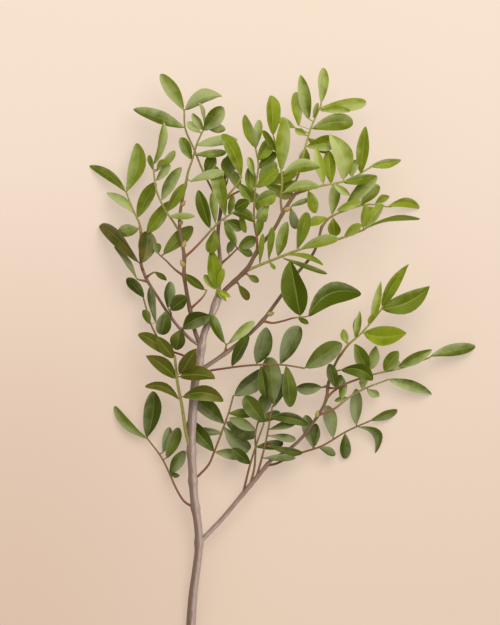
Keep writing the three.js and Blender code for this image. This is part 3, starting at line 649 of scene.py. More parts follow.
def sweep(tree, lines, sides):
    """A round profile swept along lines with their own radii; `rim` keeps the direction around them."""
    curve = put(tree, "GeometryNodeMeshToCurve", {"Mesh": lines})
    profile = put(tree, "GeometryNodeCurvePrimitiveCircle", {"Resolution": sides, "Radius": 1.0})
    here = put(tree, "GeometryNodeInputPosition").outputs[0]
    rimmed = put(tree, "GeometryNodeStoreNamedAttribute",
                 {"Geometry": profile.outputs[0], "Name": "rim", "Value": here}, data_type="FLOAT_VECTOR")
    return put(tree, "GeometryNodeCurveToMesh", {
        "Curve": curve.outputs[0], "Profile Curve": rimmed.outputs[0], "Scale": named(tree, "radius"),
        "Fill Caps": True,
    })


wood_tree, start, end = geometry_tree("branch", [
    ("Sides", "NodeSocketInt"), ("Relief", "NodeSocketFloat"), ("Bark", "NodeSocketMaterial"),
])
swept = sweep(wood_tree, start.outputs["Geometry"], start.outputs["Sides"])
here = put(wood_tree, "GeometryNodeInputPosition").outputs[0]
lumps = put(wood_tree, "ShaderNodeTexNoise", {"Vector": here, "Scale": 260.0, "Detail": 2.0}).outputs[0]
push = calc(wood_tree, "MULTIPLY", calc(wood_tree, "SUBTRACT", lumps, 0.5), start.outputs["Relief"])
normal = put(wood_tree, "GeometryNodeInputNormal").outputs[0]
rough = put(wood_tree, "GeometryNodeSetPosition", {
    "Geometry": swept.outputs[0], "Offset": vector(wood_tree, "MULTIPLY", normal, push),
})
smoothed = put(wood_tree, "GeometryNodeSetShadeSmooth", {"Geometry": rough.outputs[0]})
realized = put(wood_tree, "GeometryNodeRealizeInstances", {"Geometry": smoothed.outputs[0]})
dressed = put(wood_tree, "GeometryNodeSetMaterial", {
    "Geometry": realized.outputs[0], "Material": start.outputs["Bark"],
})
wood_tree.links.new(dressed.outputs[0], end.inputs["Geometry"])
print("branch tree has", len(wood_tree.nodes), "nodes")


# %% Radii along the wood
COLLAR = 0.22  # swelling under a side piece, as a share of the radius
COLLAR_REACH = 3.0  # mm along the branch
TIP_REACH = 2.0  # mm over which a shoot's end rounds off
BUD_SHAPE = (0.75, 0.9, 1.0, 1.0, 0.95, 0.82, 0.62, 0.38, 0.08)  # radii from the foot to the tip
BUD_SIZE = 1.15  # buds swell a little beyond the construction's
YOUTH = {  # the others go from 0, old, to 1 at their tips
    "main_stem": (-0.5, 0.5), "right_branch": (0.6, 0.9), "left_leader": (0.35, 1.0),
    "right_leader": (0.3, 1.0),
}
BUD_YOUTH = 2.0
BUD_OUT, BUD_AHEAD = 0.6, 1.9  # how far a bud reaches out of the wood and along it, in radii
ON_THE_WOOD = 0.2  # mm; a bud this near to the wood's middle leans to the side
END_OPEN = 0.01  # keeps the last ring of a shoot from closing to a point


def seats_on(name):
    """Where other pieces leave a woody piece, in the plan."""
    feet = [line[0] for other, line in wood_lines.items() if WOOD[other].carrier == name]
    return feet + [line[0] for other, line in leaf_lines.items() if LEAVES[other].carrier == name]


def along_line(line):
    """The way along a line, in mm, at each of its places."""
    ways = [0.0]
    for p, q in zip(line, line[1:]):
        ways.append(ways[-1] + (q - p).length)
    return ways


def radii_along(name):
    """The radius at each place of a woody piece's line, in mm."""
    piece, line = WOOD[name], wood_lines[name]
    ways, seats, radii = along_line(line), seats_on(name), []
    for way, place in zip(ways, line):
        at = way / ways[-1] * (len(piece.radii) - 1)
        k = min(int(at), len(piece.radii) - 2)
        radius = piece.radii[k] + (piece.radii[k + 1] - piece.radii[k]) * (at - k)
        swell = sum(math.exp(-(((place - seat).length / COLLAR_REACH) ** 2)) for seat in seats)
        radius *= 1 + COLLAR * min(swell, 1.0)
        left = (ways[-1] - way) / TIP_REACH
        if left < 1:
            radius *= math.sqrt(max(1 - (1 - left) ** 2, END_OPEN))
        radii.append(radius)
    return radii


def bud_line(name, x, y, radius):
    """A bud as a short line from the wood's middle, leaning forwards, with its radii."""
    line = wood_lines[name]
    seat = nearest(line, x, y)
    k = min(range(len(line)), key=lambda i: (line[i] - seat).length)
    ahead = (line[min(k + 2, len(line) - 1)] - line[max(k - 2, 0)]).normalized()
    middle = Vector((x, y, seat.z))
    out = (middle - seat).normalized()
    if (middle - seat).length <= ON_THE_WOOD:
        out = ahead.cross(Vector((0, 0, 1)))
    radius *= BUD_SIZE
    tip = middle + (BUD_OUT * out + BUD_AHEAD * ahead) * radius
    steps = len(BUD_SHAPE) - 1
    places = [seat.lerp(tip, i / steps) for i in range(steps + 1)]
    return places, [radius * share for share in BUD_SHAPE]


print("thickest place of the main stem", round(max(radii_along("main_stem")), 2), "mm in radius")


# %% Grow the wood
def line_mesh(name, lines, layers):
    """Lines of the plan as chains of edges in the frame, with numbers on their points."""
    points, edges = [], []
    for line in lines:
        edges += [(len(points) + i, len(points) + i + 1) for i in range(len(line) - 1)]
        points += [PLAN + p * MM for p in line]
    mesh = bpy.data.meshes.new(name + "_line")
    mesh.from_pydata(points, edges, [])
    for layer, values in layers.items():
        attribute(mesh, layer, "FLOAT", values)
    return mesh


pieces = {}
for name, piece in WOOD.items():
    lines, radii = [wood_lines[name]], radii_along(name)
    ways = along_line(lines[0])
    oldest, youngest = YOUTH.get(name, (0.0, 1.0))
    young = [oldest + (youngest - oldest) * way / ways[-1] for way in ways]
    for bud in piece.buds:
        places, thick = bud_line(name, *bud)
        lines.append(places)
        radii += thick
        ways += along_line(places)
        young += [BUD_YOUTH] * len(places)
    mesh = line_mesh(name, lines, {
        "radius": [r * MM for r in radii], "along": [way * MM for way in ways], "youth": young,
    })
    old_wood = piece.finish == "bark"
    pieces[name] = run_tree(name + "_wood", mesh, wood_tree, {
        "Sides": WOOD_SIDES, "Relief": BARK_RELIEF if old_wood else YOUNG_RELIEF,
        "Bark": BARK if old_wood else YOUNG_BARK,
    })
    print(name, len(pieces[name].data.polygons), "faces")

# %% The cut end of the main stem
FACING_DOWN = -0.7  # the cut face's normal points along -Y
stem_mesh = pieces["main_stem"].data
stem_mesh.materials.append(CUT_WOOD)
caps = [face for face in stem_mesh.polygons if len(face.vertices) == WOOD_SIDES]
cut_faces = [face for face in caps if face.normal.y < FACING_DOWN]
for face in cut_faces:
    face.material_index = 1
    face.use_smooth = False
print(len(cut_faces), "cut face")

# %% [markdown]
# ## The leaflets
# A leaflet is a folded blade on a short stalk. All of them share one template, a closed tube of rings
# that is round at the stalk and flat at the blade. The template holds no place of its own: each point
# only says how far along the leaflet it is (`share`, from -1 at the foot through 0 at the blade's base to
# 1 at the tip), how far out to the side (`side`), and how much it stands off the blade's middle plane
# (`body`). A tree then bends the copies to their places. That keeps the copies light, and no two leaflets
# look alike.

# %% One leaflet's rings
STALK_RADIUS = 0.5 * MM
BLADE_HALF_THICKNESS = 0.2 * MM
SIDES = (1.0, 0.5, 0.0, -0.5, -1.0, -0.5, 0.0, 0.5)  # top from right to left, then the underside back
SHARES = (-1.0, -0.35, 0.0, 0.05, 0.12, 0.21, 0.32, 0.44, 0.56, 0.68, 0.79, 0.88, 0.95, 0.985)
POINTED, BLUNT = (0.8, 0.95), (0.92, 0.45)  # how fast the blade widens from its base and narrows to its tip
FLAT_FROM = 0.16  # the share of the blade over which the round stalk turns into the flat blade
UNDER_MIDRIB = 6  # the place in SIDES where the midrib stands out below
RIB_DEPTH = 2.2  # of the midrib at the blade's base, in half thicknesses


def outline(share, base, tip):
    """Half width of the blade as a share of its largest; a small power gives a blunt end."""
    widest = base / (base + tip)
    return share**base * (1 - share) ** tip / (widest**base * (1 - widest) ** tip)


def ring(share):
    """The points of one ring: share, side, width if pointed, width if blunt, and stand-off."""
    points = []
    for i, side in enumerate(SIDES):
        turn = 2 * math.pi * i / len(SIDES)
        round_off = Vector((math.cos(turn), 0, math.sin(turn))) * STALK_RADIUS
        thin_off = Vector((0, 0, math.sin(turn) * BLADE_HALF_THICKNESS))
        if i == UNDER_MIDRIB:
            thin_off.z *= RIB_DEPTH - share
        flatness = min(max(share / FLAT_FROM, 0.0), 1.0)
        pointed, blunt = (outline(max(share, 0.0), *ends) * side for ends in (POINTED, BLUNT))
        points.append((share, side, pointed, blunt, round_off.lerp(thin_off, flatness)))
    return points


PLAIN_HALF, PLAIN_LENGTH = 5 * MM, 20 * MM  # of the template as it is before the tree bends it
rows = [point for share in SHARES for point in ring(share)]
rows += [(-1.1, 0.0, 0.0, 0.0, Vector()), (1.0, 0.0, 0.0, 0.0, Vector())]  # the two poles
n = len(SIDES)
foot_pole, tip_pole, last = len(rows) - 2, len(rows) - 1, (len(SHARES) - 1) * n
faces = []
for r in range(len(SHARES) - 1):
    for i in range(n):
        a, b = r * n + i, r * n + (i + 1) % n
        # A bent quad is drawn as two triangles, split at its first corner. The underside starts a corner
        # later, so that both faces of the thin blade are split alike and neither shows through the other.
        faces.append((a, a + n, b + n, b) if i < n // 2 else (a + n, b + n, b, a))
faces += [(foot_pole, i, (i + 1) % n) for i in range(n)]
faces += [(last + (i + 1) % n, last + i, tip_pole) for i in range(n)]
plain = [(pointed * PLAIN_HALF + body.x, share * PLAIN_LENGTH, body.z) for share, _, pointed, _, body in rows]
blade_mesh = bpy.data.meshes.new("leaflet_template")
blade_mesh.from_pydata(plain, [], faces)
print("a leaflet has", len(faces), "faces")

# %% What the points of the template say
RIDGES = (0, 2, 4)  # the places in SIDES of the two margins and of the fold between them
FIRST_RIDGED = 3  # the first ring of the blade with sharp ridges
for k, label in enumerate(("share", "side", "pointed", "rounded")):
    attribute(blade_mesh, label, "FLOAT", [row[k] for row in rows])
attribute(blade_mesh, "body", "FLOAT_VECTOR", [row[4] for row in rows])
underneath = [float(k % n >= n // 2) for k in range(len(faces))]
attribute(blade_mesh, "under", "FLOAT", underneath, "FACE")
for edge in blade_mesh.edges:
    a, b = sorted(edge.vertices)
    lengthwise = b == tip_pole or b - a == n
    edge.use_edge_sharp = a >= FIRST_RIDGED * n and a % n in RIDGES and lengthwise
template = bpy.data.objects.new("leaflet_template", blade_mesh)
bpy.context.scene.collection.objects.link(template)
print(sum(underneath), "faces underneath,", sum(e.use_edge_sharp for e in blade_mesh.edges), "sharp edges")

# %% [markdown]
# ## The leaf tree
# The source of a leaf is a chain of points for its stalk and one loose point for each leaflet. The tree
# sweeps the chain, puts the template on the loose points, and moves every point of every copy to its place:
# along the leaflet's stalk, then along the blade, which arches, is folded along its midrib, twists a little
# and has a gently waving margin.

# %% A tree that grows a leaf
leaf_tree, start, end = geometry_tree("leaf", [
    ("Leaflet", "NodeSocketObject"), ("Stalk sides", "NodeSocketInt"), ("Wave", "NodeSocketFloat"),
    ("Blade finish", "NodeSocketMaterial"), ("Stalk finish", "NodeSocketMaterial"),
])
is_leaflet = calc(leaf_tree, "GREATER_THAN", named(leaf_tree, "half"), 0.0)
parts = put(leaf_tree, "GeometryNodeSeparateGeometry", {
    "Geometry": start.outputs["Geometry"], "Selection": is_leaflet,
})
swept = sweep(leaf_tree, parts.outputs["Inverted"], start.outputs["Stalk sides"])
green_stalk = put(leaf_tree, "GeometryNodeSetMaterial",
                  {"Geometry": swept.outputs[0], "Material": start.outputs["Stalk finish"]})
shape = put(leaf_tree, "GeometryNodeObjectInfo", {"Object": start.outputs["Leaflet"]})
copies = put(leaf_tree, "GeometryNodeInstanceOnPoints",
             {"Points": parts.outputs["Selection"], "Instance": shape.outputs["Geometry"]})
blades = put(leaf_tree, "GeometryNodeRealizeInstances", {"Geometry": copies.outputs[0]})
print("leaf tree, first part:", len(leaf_tree.nodes), "nodes")

# %% Where each point of a leaflet goes
TWIST_FROM = 0.4  # the share of the blade that keeps its direction while the rest twists
MARGIN_WAVES = 11.0  # the turn of the margin's waves from base to tip, in radians
WAVE_SHIFT = 1.3  # radians by which the margins' waves differ from the midrib's
HANG_POWER = 2.5  # a large power lets only the tip hang
num, vec = partial(calc, leaf_tree), partial(vector, leaf_tree)  # sums of numbers and of vectors in this tree
share, side, pointed, rounded = (named(leaf_tree, name) for name in ("share", "side", "pointed", "rounded"))
half, twist, phase, fold, blunt, curl = (
    named(leaf_tree, name) for name in ("half", "twist", "phase", "fold", "blunt", "curl")
)
foot, reach, run, right, bow, body = (
    named(leaf_tree, name, "FLOAT_VECTOR") for name in ("foot", "reach", "run", "right", "bow", "body")
)
flat = num("MULTIPLY_ADD", num("SUBTRACT", rounded, pointed), blunt, pointed)
on_blade = num("MAXIMUM", share, 0.0)
on_stalk = num("MINIMUM", num("ADD", share, 1.0), 1.0)
to_tip = num("SUBTRACT", 1.0, on_blade)
swell = num("MULTIPLY", num("MULTIPLY", on_blade, 4.0), to_tip)
turned = put(leaf_tree, "ShaderNodeVectorRotate", {
    "Vector": right, "Axis": run, "Angle": num("MULTIPLY", twist, num("SUBTRACT", on_blade, TWIST_FROM)),
}).outputs[0]
upward = vec("NORMALIZE", vec("CROSS_PRODUCT", turned, run))
body_parts = put(leaf_tree, "ShaderNodeSeparateXYZ", {0: body})
shifted = num("MULTIPLY_ADD", side, WAVE_SHIFT, phase)
ripple = num("SINE", num("MULTIPLY_ADD", on_blade, MARGIN_WAVES, shifted))
rise = num("MULTIPLY_ADD", ripple, start.outputs["Wave"], fold)
lift = num("MULTIPLY", num("MULTIPLY", half, num("ABSOLUTE", flat)), rise)
hang = num("MULTIPLY", num("POWER", on_blade, HANG_POWER), curl)
lift = num("SUBTRACT", lift, hang)
goal = vec("ADD", foot, vec("MULTIPLY", reach, on_stalk))
goal = vec("ADD", goal, vec("ADD", vec("MULTIPLY", run, on_blade), vec("MULTIPLY", bow, swell)))
wide = num("MULTIPLY_ADD", half, flat, body_parts.outputs[0])
goal = vec("ADD", goal, vec("MULTIPLY", turned, wide))
goal = vec("ADD", goal, vec("MULTIPLY", upward, num("ADD", lift, body_parts.outputs[2])))
placed = put(leaf_tree, "GeometryNodeSetPosition", {"Geometry": blades.outputs[0], "Position": goal})
print("leaf tree, second part:", len(leaf_tree.nodes), "nodes")

# %% The leaf tree's end
bladed = put(leaf_tree, "GeometryNodeSetMaterial",
             {"Geometry": placed.outputs[0], "Material": start.outputs["Blade finish"]})
stalked = put(leaf_tree, "GeometryNodeSetMaterial", {
    "Geometry": bladed.outputs[0], "Material": start.outputs["Stalk finish"],
    "Selection": calc(leaf_tree, "LESS_THAN", share, 0.0),
})
together = put(leaf_tree, "GeometryNodeJoinGeometry")
for branch_end in (green_stalk, stalked):
    leaf_tree.links.new(branch_end.outputs[0], together.inputs[0])
smoothed = put(leaf_tree, "GeometryNodeSetShadeSmooth", {"Geometry": together.outputs[0]})
leaf_tree.links.new(smoothed.outputs[0], end.inputs["Geometry"])
print("leaf tree:", len(leaf_tree.nodes), "nodes")

# %% [markdown]
# ## The green of the leaves
# The leaflets are leathery: a dark, satin upper face with a pale midrib and faint side veins, and a
# paler, dull underside. Old leaves are deep green and young ones yellow-green. The pattern follows the
# blade, so the material reads `share` and `side` from the mesh. Four more numbers differ from leaflet to
# leaflet: `tint` shifts the green, the second is painted sheen, a pale veil painted into the colour in place
# of light glancing off the blade, the third paints more of that sheen on one half of the blade, as if that
# half caught more light, and `olive` is the brownish tone of the oldest leaves.

# %% Blades
OLIVE = colour(104, 86, 36)
VEIN_PAIRS, VEIN_SLANT = 8.5, 2.6  # side veins from base to tip, and how far each runs forward to the margin


def blade(name, tones):
    """A leaflet's two faces: green with a painted sheen, a midrib and side veins, and a dull underside."""
    deep, fresh, bloom, below, vein = (colour(*tone) for tone in tones)
    made, tree, shader = material(name)
    place = put(tree, "ShaderNodeTexCoord").outputs["Object"]
    share, across = read(tree, "share"), read(tree, "side")
    side = calc(tree, "ABSOLUTE", across)
    under, tint = read(tree, "under"), read(tree, "tint")
    clouds, specks = noise(tree, place, 130.0, 2.0), noise(tree, place, 900.0, 3.0)
    fresher = calc(tree, "ADD", tint, calc(tree, "MULTIPLY_ADD", clouds, 0.7, -0.35))
    base = blend(tree, window(tree, fresher, 0.0, 1.0), deep, fresh)
    base = coat(tree, base, deep, window(tree, specks, 0.4, 0.7), 0.2)
    # painted sheen: a pale veil painted into the colour in place of light glancing off the blade, with more
    # of it on one half
    painted_sheen_amount = calc(tree, "MULTIPLY_ADD", read(tree, "sheen_lean"), across, read(tree, "bloom"))
    painted_sheen_amount = calc(tree, "ADD", painted_sheen_amount, calc(tree, "MULTIPLY_ADD", clouds, 0.8, -0.4))
    base = coat(tree, base, bloom, window(tree, painted_sheen_amount, 0.0, 1.0), 0.9)
    base = coat(tree, base, OLIVE, window(tree, clouds, 0.25, 0.65), read(tree, "olive"))
    slant = calc(tree, "MULTIPLY", side, VEIN_SLANT)
    slope = calc(tree, "SUBTRACT", calc(tree, "MULTIPLY", share, VEIN_PAIRS), slant)
    wave = calc(tree, "ABSOLUTE", calc(tree, "SUBTRACT", calc(tree, "FRACT", slope), 0.5))
    veins = calc(tree, "MULTIPLY", window(tree, wave, 0.10, 0.02), window(tree, side, 0.95, 0.6))
    midrib = window(tree, calc(tree, "ADD", side, calc(tree, "MULTIPLY", share, 0.03)), 0.105, 0.055)
    base = coat(tree, base, vein, veins, 0.09)
    dull = coat(tree, below, fresh, window(tree, clouds, 0.3, 0.7), 0.35)
    base = blend(tree, under, base, dull)
    base = coat(tree, base, vein, midrib, 0.32)
    base = coat(tree, base, vein, window(tree, side, 0.93, 1.0), 0.25)
    relief = calc(tree, "SUBTRACT", calc(tree, "MULTIPLY", specks, 0.35), calc(tree, "MULTIPLY", veins, 0.25))
    bumped(tree, shader, relief, 0.00012, 0.4)
    gloss = calc(tree, "MULTIPLY_ADD", specks, 0.14, calc(tree, "MULTIPLY_ADD", under, 0.2, 0.34))
    feed(tree, shader, {
        "Base Color": base, "Roughness": gloss,
        "Specular IOR Level": 0.3, "Specular Tint": (0.9, 1.0, 0.35, 1.0),
    })
    return made


GREENS = {  # deep, fresh, painted sheen, underside, veins
    "leaf_dark": [(56, 67, 8), (96, 106, 34), (138, 144, 104), (118, 126, 76), (140, 146, 84)],
    "leaf_mid": [(70, 84, 0), (128, 140, 38), (168, 176, 120), (138, 146, 86), (162, 168, 94)],
    "leaf_bright": [(90, 104, 0), (152, 164, 40), (180, 188, 120), (152, 160, 92), (178, 182, 98)],
}
BLADES = {name: blade(name, tones) for name, tones in GREENS.items()}
print("made", ", ".join(BLADES))


# %% Stalks
def stalk(name, tones, foot_end):
    """A leaf's stalk: two mottled tones, and a third that runs from the wood to a share of its length."""
    pale, deep, foot = (colour(*tone) for tone in tones)
    made, tree, shader = material(name)
    streaks = noise(tree, put(tree, "ShaderNodeTexCoord").outputs["Object"], 700.0, 3.0)
    base = blend(tree, window(tree, streaks, 0.3, 0.7), deep, pale)
    base = blend(tree, window(tree, read(tree, "youth"), foot_end, 0.1), base, foot)
    bumped(tree, shader, streaks, 0.0002)
    feed(tree, shader, {"Base Color": base, "Roughness": 0.5, "Specular IOR Level": 0.3})
    return made


STALKS = {
    "leaf_dark": stalk("stalk_dark", [(138, 120, 66), (112, 90, 50), (122, 72, 52)], 0.9),
    "leaf_mid": stalk("stalk_mid", [(158, 152, 84), (132, 126, 62), (140, 88, 62)], 0.6),
    "leaf_bright": stalk("stalk_bright", [(168, 166, 76), (144, 142, 54), (146, 112, 64)], 0.45),
}
print("made", ", ".join(STALKS))

# %% [markdown]
# ## Growing the leaves
# For each leaflet the numbers that the tree needs are worked out from the plan: the foot on the leaf's
# stalk, the way to the blade's base and from there to the tip, the direction across the blade, and how
# far the blade bows and arches on the way. The rest is chance, so that no two are alike. Most leaves also
# have a look of their own, added to what chance gives: `fresher` and `olive` shift the colours, the second
# number adds painted sheen (a pale veil painted into the colour in place of light glancing off the blades),
# `pointed` sharpens the tips, `green` shortens the stalk's red foot, or lengthens it if it is negative,
# `stout` thickens the stalk, and `sink` lowers all tips, in mm. `sink` and the lifts keep blades from
# cutting through one another.

# %% What sets single leaves apart
Look = namedtuple("Look", "fresher bloom olive pointed green stout sink", defaults=[0.0] * 5 + [1.0, 0.0])
LOOKS = {  # leaves that stand out from the others of their finish
    "leaf_low_left": Look(0.15, 0.3),
    "leaf_front_left": Look(-0.9, -0.5, 0.6, pointed=0.4, green=0.6, stout=1.6),
    "leaf_back_left": Look(0.0, 0.2), "leaf_low_centre": Look(0.0, 0.3),
    "leaf_small_centre": Look(-0.2, -0.4, green=0.2), "leaf_upright_centre": Look(0.0, 0.3, green=0.5),
    "leaf_low_inner": Look(0.1, 0.3, green=0.5), "leaf_low_right": Look(0.1, 0.3),
    "leaf_right_lower": Look(0.3, 0.55, pointed=0.4), "leaf_right_long": Look(0.3, 0.25, pointed=0.4),
    "leaf_right_top": Look(0.05, 0.0, pointed=0.5), "leaflet_right_inner": Look(0.2, 0.5),
    "leaflet_right_arched": Look(-0.6, -0.8),
    "leaf_broad_middle": Look(-0.7, -0.45, pointed=0.3, green=-1.5),
    "leaf_pair_middle": Look(0.0, 0.2, green=-1.0, sink=2.5), "leaf_left_low": Look(-0.1, -0.2, 0.2),
    "leaflet_left_small": Look(-0.2, -0.5, 0.5), "leaflet_left_edge": Look(1.2, 1.0, 0.3),
    "leaf_pair_left": Look(-0.1, 0.0, 0.7, pointed=0.2, sink=9.0),
    "leaf_behind_leader": Look(0.4, -0.1, sink=3.5),
    "leaf_left_tip": Look(0.35, 0.2, pointed=0.3, green=0.3),
    "leaf_small_fork": Look(-0.4, -0.9, 0.2, green=-1.0), "leaf_upper_left": Look(0.1, 0.2, green=0.3),
    "leaf_top_left": Look(0.3, 0.5, green=0.4), "leaf_top_left_tall": Look(0.0, 0.2, sink=2.8),
    "leaf_crossing": Look(-0.15, -0.2), "leaf_small_inner": Look(1.0, 0.3),
    "leaf_bright_inner": Look(-0.2, -0.5), "leaflet_dark_inner": Look(0.7, 0.1, sink=9.0),
    "young_sprouts": Look(0.2, -0.4, pointed=0.4), "leaf_long_right": Look(0.3, 0.0, green=0.5, stout=1.25),
    "leaflet_fork_upper": Look(0.2, 0.2, 0.3), "leaflet_fork_lower": Look(-0.3, -0.8, 0.6),
    "leaflet_dark_bud": Look(1.2, 0.2), "leaf_far_right": Look(0.0, 0.15),
    "leaf_upper_right": Look(0.15, 0.1, pointed=0.3), "leaf_top_right": Look(0.0, 0.2),
    "leaf_shaded_crown": Look(1.1, 0.25),
}
LIFTS = {  # by leaf and place in its list, how far the tips of single leaflets rise, in mm
    "leaf_front_left": {4: 9.0, 5: 5.0}, "leaf_low_centre": {4: -5.0}, "leaf_upright_centre": {1: -5.0},
    "leaf_low_right": {0: 9.0}, "leaf_right_long": {0: 5.0, 4: 8.1}, "leaf_right_top": {6: 9.0},
    "leaf_top_left": {3: 5.0}, "leaf_crossing": {5: 4.6}, "leaf_small_inner": {1: 3.8},
    "young_sprouts": {0: 2.6, 2: 9.0}, "leaf_long_right": {9: 3.0}, "leaf_far_right": {4: 3.4},
    "leaf_upper_right": {1: 9.0}, "leaf_inner_upright": {2: -4.0}, "leaf_top_right": {5: 9.0, 11: -5.0},
}
print(len(LOOKS), "leaves have a look of their own, and", len(LIFTS), "have lifted leaflets")

# %% Numbers for each leaflet
BLADE_ARCH = 0.07  # height of the blade's arch, as a share of its length
BLADE_FULLNESS = 1.07  # a tapered blade is a little wider than the plain solid's
BLADE_ROLL, ROLL_STEP = math.radians(20), 2.4  # the largest roll, and the turn from leaflet to leaflet
FOOT_CLEAR = 4.0  # mm of the leaf's stalk next to the wood that stay bare
LEAST_REACH = 0.6  # length of the shortest stalk of a leaflet, in mm
STALK_RISE = 0.2  # how much a leaflet's stalk climbs on its way out
LYING = 2.0  # mm; a tip this low lies on the table and doesn't curl
LEAFLET_YOUTH = 0.35  # the leaflets' own stalks are a little red
WAVE = 0.09  # height of the margin's waves, as a share of the half width
STALK_SIDES = 8
RACHIS = (0.85, 0.6)  # radius of a leaf's stalk at its foot and at its end, in mm
SWELLING, SWELLING_REACH = 0.5, 2.5  # of a leaf's stalk at the wood, as a share and in mm
NUMBERS = ("radius", "along", "youth", "half", "twist", "phase", "tint", "fold", "blunt", "curl",
           "bloom", "sheen_lean", "olive")
ARROWS = ("foot", "reach", "run", "right", "bow")
SHAPERS = ("radius", "half", "twist", "phase", "fold", "blunt", "curl", "pointed", "rounded", "body")
chance = random.Random(7)


def leaflet_numbers(line, turn, bx, by, tx, ty, tz, width, bow=0.0, roll=None):
    """What one leaflet's point carries, in metres."""
    foot = nearest(line, bx, by, FOOT_CLEAR)
    base = Vector((bx, by, foot.z + STALK_RISE * math.hypot(bx - foot.x, by - foot.y)))
    run = Vector((tx, ty, tz)) - base
    if (base - foot).length < LEAST_REACH:  # the blade starts where the stalk ends
        foot = base - run.normalized() * LEAST_REACH
    across = Vector((-run.y, run.x, 0)).normalized()
    bowed = across * (bow if across.y >= 0 else -bow) + Vector((0, 0, BLADE_ARCH * run.length))
    angle = turn if roll is None else math.radians(roll)
    right = -(Matrix.Rotation(angle, 3, run) @ across)
    return {
        "foot": PLAN + foot * MM, "reach": (base - foot) * MM, "run": run * MM,
        "right": right, "bow": bowed * MM, "half": BLADE_FULLNESS * width / 2 * MM,
        "twist": chance.uniform(-0.7, 0.7), "phase": chance.uniform(0, 6.28),
        "tint": chance.uniform(-0.1, 0.8), "fold": chance.uniform(0.2, 0.65),
        "blunt": chance.uniform(0.3, 0.9),
        "curl": chance.uniform(-0.02, 0.06) * run.length * MM if tz > LYING else 0.0,
        # the amount of painted sheen, and which half of the blade gets more of it
        "bloom": chance.uniform(-0.3, 0.6), "sheen_lean": chance.choice((-0.45, 0.45)), "youth": LEAFLET_YOUTH,
    }


print(len(NUMBERS), "numbers and", len(ARROWS), "vectors go with every leaflet")

# %% Grow every leaf
count = 0
for name, leaf in LEAVES.items():
    line, look = leaf_lines[name], LOOKS.get(name, Look())
    ways = along_line(line)
    points = []
    for way in ways:
        radius = RACHIS[0] + (RACHIS[1] - RACHIS[0]) * way / ways[-1]
        swelling = 1 + SWELLING * math.exp(-way / SWELLING_REACH)
        points.append({
            "radius": look.stout * radius * swelling * MM,
            "along": way * MM, "youth": look.green + (1 - look.green) * way / ways[-1],
        })
    for place, row in enumerate(leaf.leaflets):
        count += 1
        point = leaflet_numbers(line, BLADE_ROLL * math.sin(ROLL_STEP * count), *row)
        point["run"].z += (LIFTS.get(name, {}).get(place, 0.0) - look.sink) * MM
        point["blunt"] -= look.pointed
        point["tint"] += look.fresher
        point["bloom"] += look.bloom
        point["olive"] = look.olive
        points.append(point)
    mesh = bpy.data.meshes.new(name + "_plan")
    places = [PLAN + p * MM for p in line] + [p["foot"] for p in points[len(line):]]
    mesh.from_pydata(places, [(i, i + 1) for i in range(len(line) - 1)], [])
    for key in NUMBERS:
        attribute(mesh, key, "FLOAT", [p.get(key, 0.0) for p in points])
    for key in ARROWS:
        attribute(mesh, key, "FLOAT_VECTOR", [p.get(key, Vector()) for p in points])
    pieces[name] = run_tree(name + "_foliage", mesh, leaf_tree, {
        "Leaflet": template, "Stalk sides": STALK_SIDES, "Wave": WAVE,
        "Blade finish": BLADES[leaf.finish], "Stalk finish": STALKS[leaf.finish],
    })
    grown = pieces[name].data
    for key in ARROWS + SHAPERS:
        grown.attributes.remove(grown.attributes[key])
bpy.data.objects.remove(template)
face_count = sum(len(piece.data.polygons) for piece in pieces.values())
print(count, "leaflets on", len(LEAVES), "leaves,", face_count, "faces in all")

# %% [markdown]
# ## Each piece stands for its solid
# The grown pieces hide the plain solids they were made for and take over their finishes. They all ride on the
# one body, because a cut stem has no joints.

# %% Ride and replace
for name, piece in pieces.items():
    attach(piece, "root")
    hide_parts(name)
print(len(pieces), "pieces stand for", len(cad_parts), "solids")

# %% [markdown]
# ## Table, light and camera
# The table is pale and matt, and glows a little, as painted light that keeps the shadows pale. Its colour
# holds painted light towards the crown and painted shade towards the lower left. A large soft lamp beyond
# the crown gives the soft shading of daylight from a big window, a weaker one fills in from the left, and
# the world adds even light from all around. The camera looks straight down on the lying stem through a
# long lens, so that nothing leans outwards.

# %% The table
TABLE_GLOW = 1.0  # painted light: the table glows, so that the leaves' shadows stay pale
TABLE_HALF = 3.0


def floor_finish():
    """A pale, warm, matt surface, with painted light that makes it lighter towards the crown and painted
    shade that makes it darker towards the lower left.
    """
    made, tree, shader = material("table")
    place = put(tree, "ShaderNodeTexCoord").outputs["Object"]
    across, forward, _ = put(tree, "ShaderNodeSeparateXYZ", {0: place}).outputs
    # painted light: the table gets lighter towards the crown
    painted_light_to_crown = window(tree, calc(tree, "MULTIPLY_ADD", noise(tree, place, 3.0), 0.06, forward), -0.2, 0.3)
    base = blend(tree, painted_light_to_crown, colour(166, 149, 133), colour(176, 161, 148))
    # painted shade: darker towards the lower left
    corner = calc(tree, "MULTIPLY", window(tree, across, 0.02, -0.19), calc(tree, "SUBTRACT", 0.85, painted_light_to_crown))
    base = blend(tree, corner, base, colour(159, 138, 123))
    # the glow is painted light that lifts the shadows on the table
    feed(tree, shader, {
        "Base Color": base, "Emission Color": base, "Emission Strength": TABLE_GLOW, "Roughness": 0.9,
    })
    return made


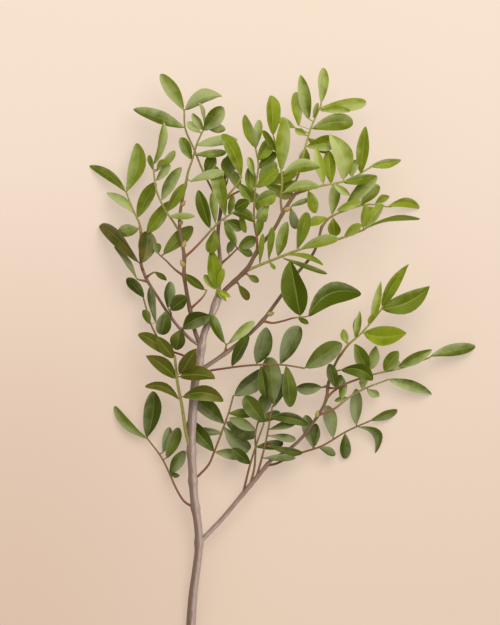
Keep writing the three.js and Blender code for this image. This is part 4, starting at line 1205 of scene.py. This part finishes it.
floor_mesh = bpy.data.meshes.new("table")
corners = [(x * TABLE_HALF, y * TABLE_HALF, 0) for x, y in ((-1, -1), (1, -1), (1, 1), (-1, 1))]
floor_mesh.from_pydata(corners, [], [(0, 1, 2, 3)])
floor_mesh.materials.append(floor_finish())
floor = bpy.data.objects.new("table", floor_mesh)
floor.location.z = CAD_BOX[0][2]
bpy.context.scene.collection.objects.link(floor)
print("table at height", round(floor.location.z, 5))


# %% Light
def lamp(name, place, aim, size, power, tone):
    """A square soft lamp that faces a place."""
    light = bpy.data.lights.new(name, "AREA")
    light.size, light.energy, light.color = size, power, tone
    stand = bpy.data.objects.new(name, light)
    stand.location = place
    stand.rotation_euler = (Vector(aim) - Vector(place)).to_track_quat("-Z", "Y").to_euler()
    bpy.context.scene.collection.objects.link(stand)


lamp("window_light", (0.4, 1.05, 1.95), (0, 0.1, 0), 1.6, 39.0, (1.0, 0.985, 0.94))
lamp("fill_light", (-1.2, -0.2, 1.5), (0, 0, 0), 1.5, 5.0, (1.0, 0.97, 0.94))
world = bpy.data.worlds.new("room")
world.use_nodes = True
background = world.node_tree.nodes["Background"]
feed(world.node_tree, background, {"Color": (1.0, 0.96, 0.93, 1.0), "Strength": 0.42})
bpy.context.scene.world = world
bpy.context.scene.view_settings.view_transform = "Standard"
print("two lamps and the room's own light")

# %% Camera
VIEW_HEIGHT = 0.45  # metres of the stem from the picture's lower edge to its upper one
VIEW_MIDDLE = PLAN + Vector((0, 225, 0)) * MM  # the place in the plan at the picture's middle
CAMERA_HEIGHT = 4.0
STEM_HEIGHT = 0.03  # where the view's height is measured
eye = bpy.data.cameras.new("eye")
eye.sensor_fit = "VERTICAL"
eye.sensor_height = 24.0
eye.lens = eye.sensor_height * (CAMERA_HEIGHT - STEM_HEIGHT) / VIEW_HEIGHT
camera = bpy.data.objects.new("eye", eye)
camera.location = (VIEW_MIDDLE.x, VIEW_MIDDLE.y, CAMERA_HEIGHT)
bpy.context.scene.collection.objects.link(camera)
bpy.context.scene.camera = camera
print("lens", round(eye.lens), "mm")
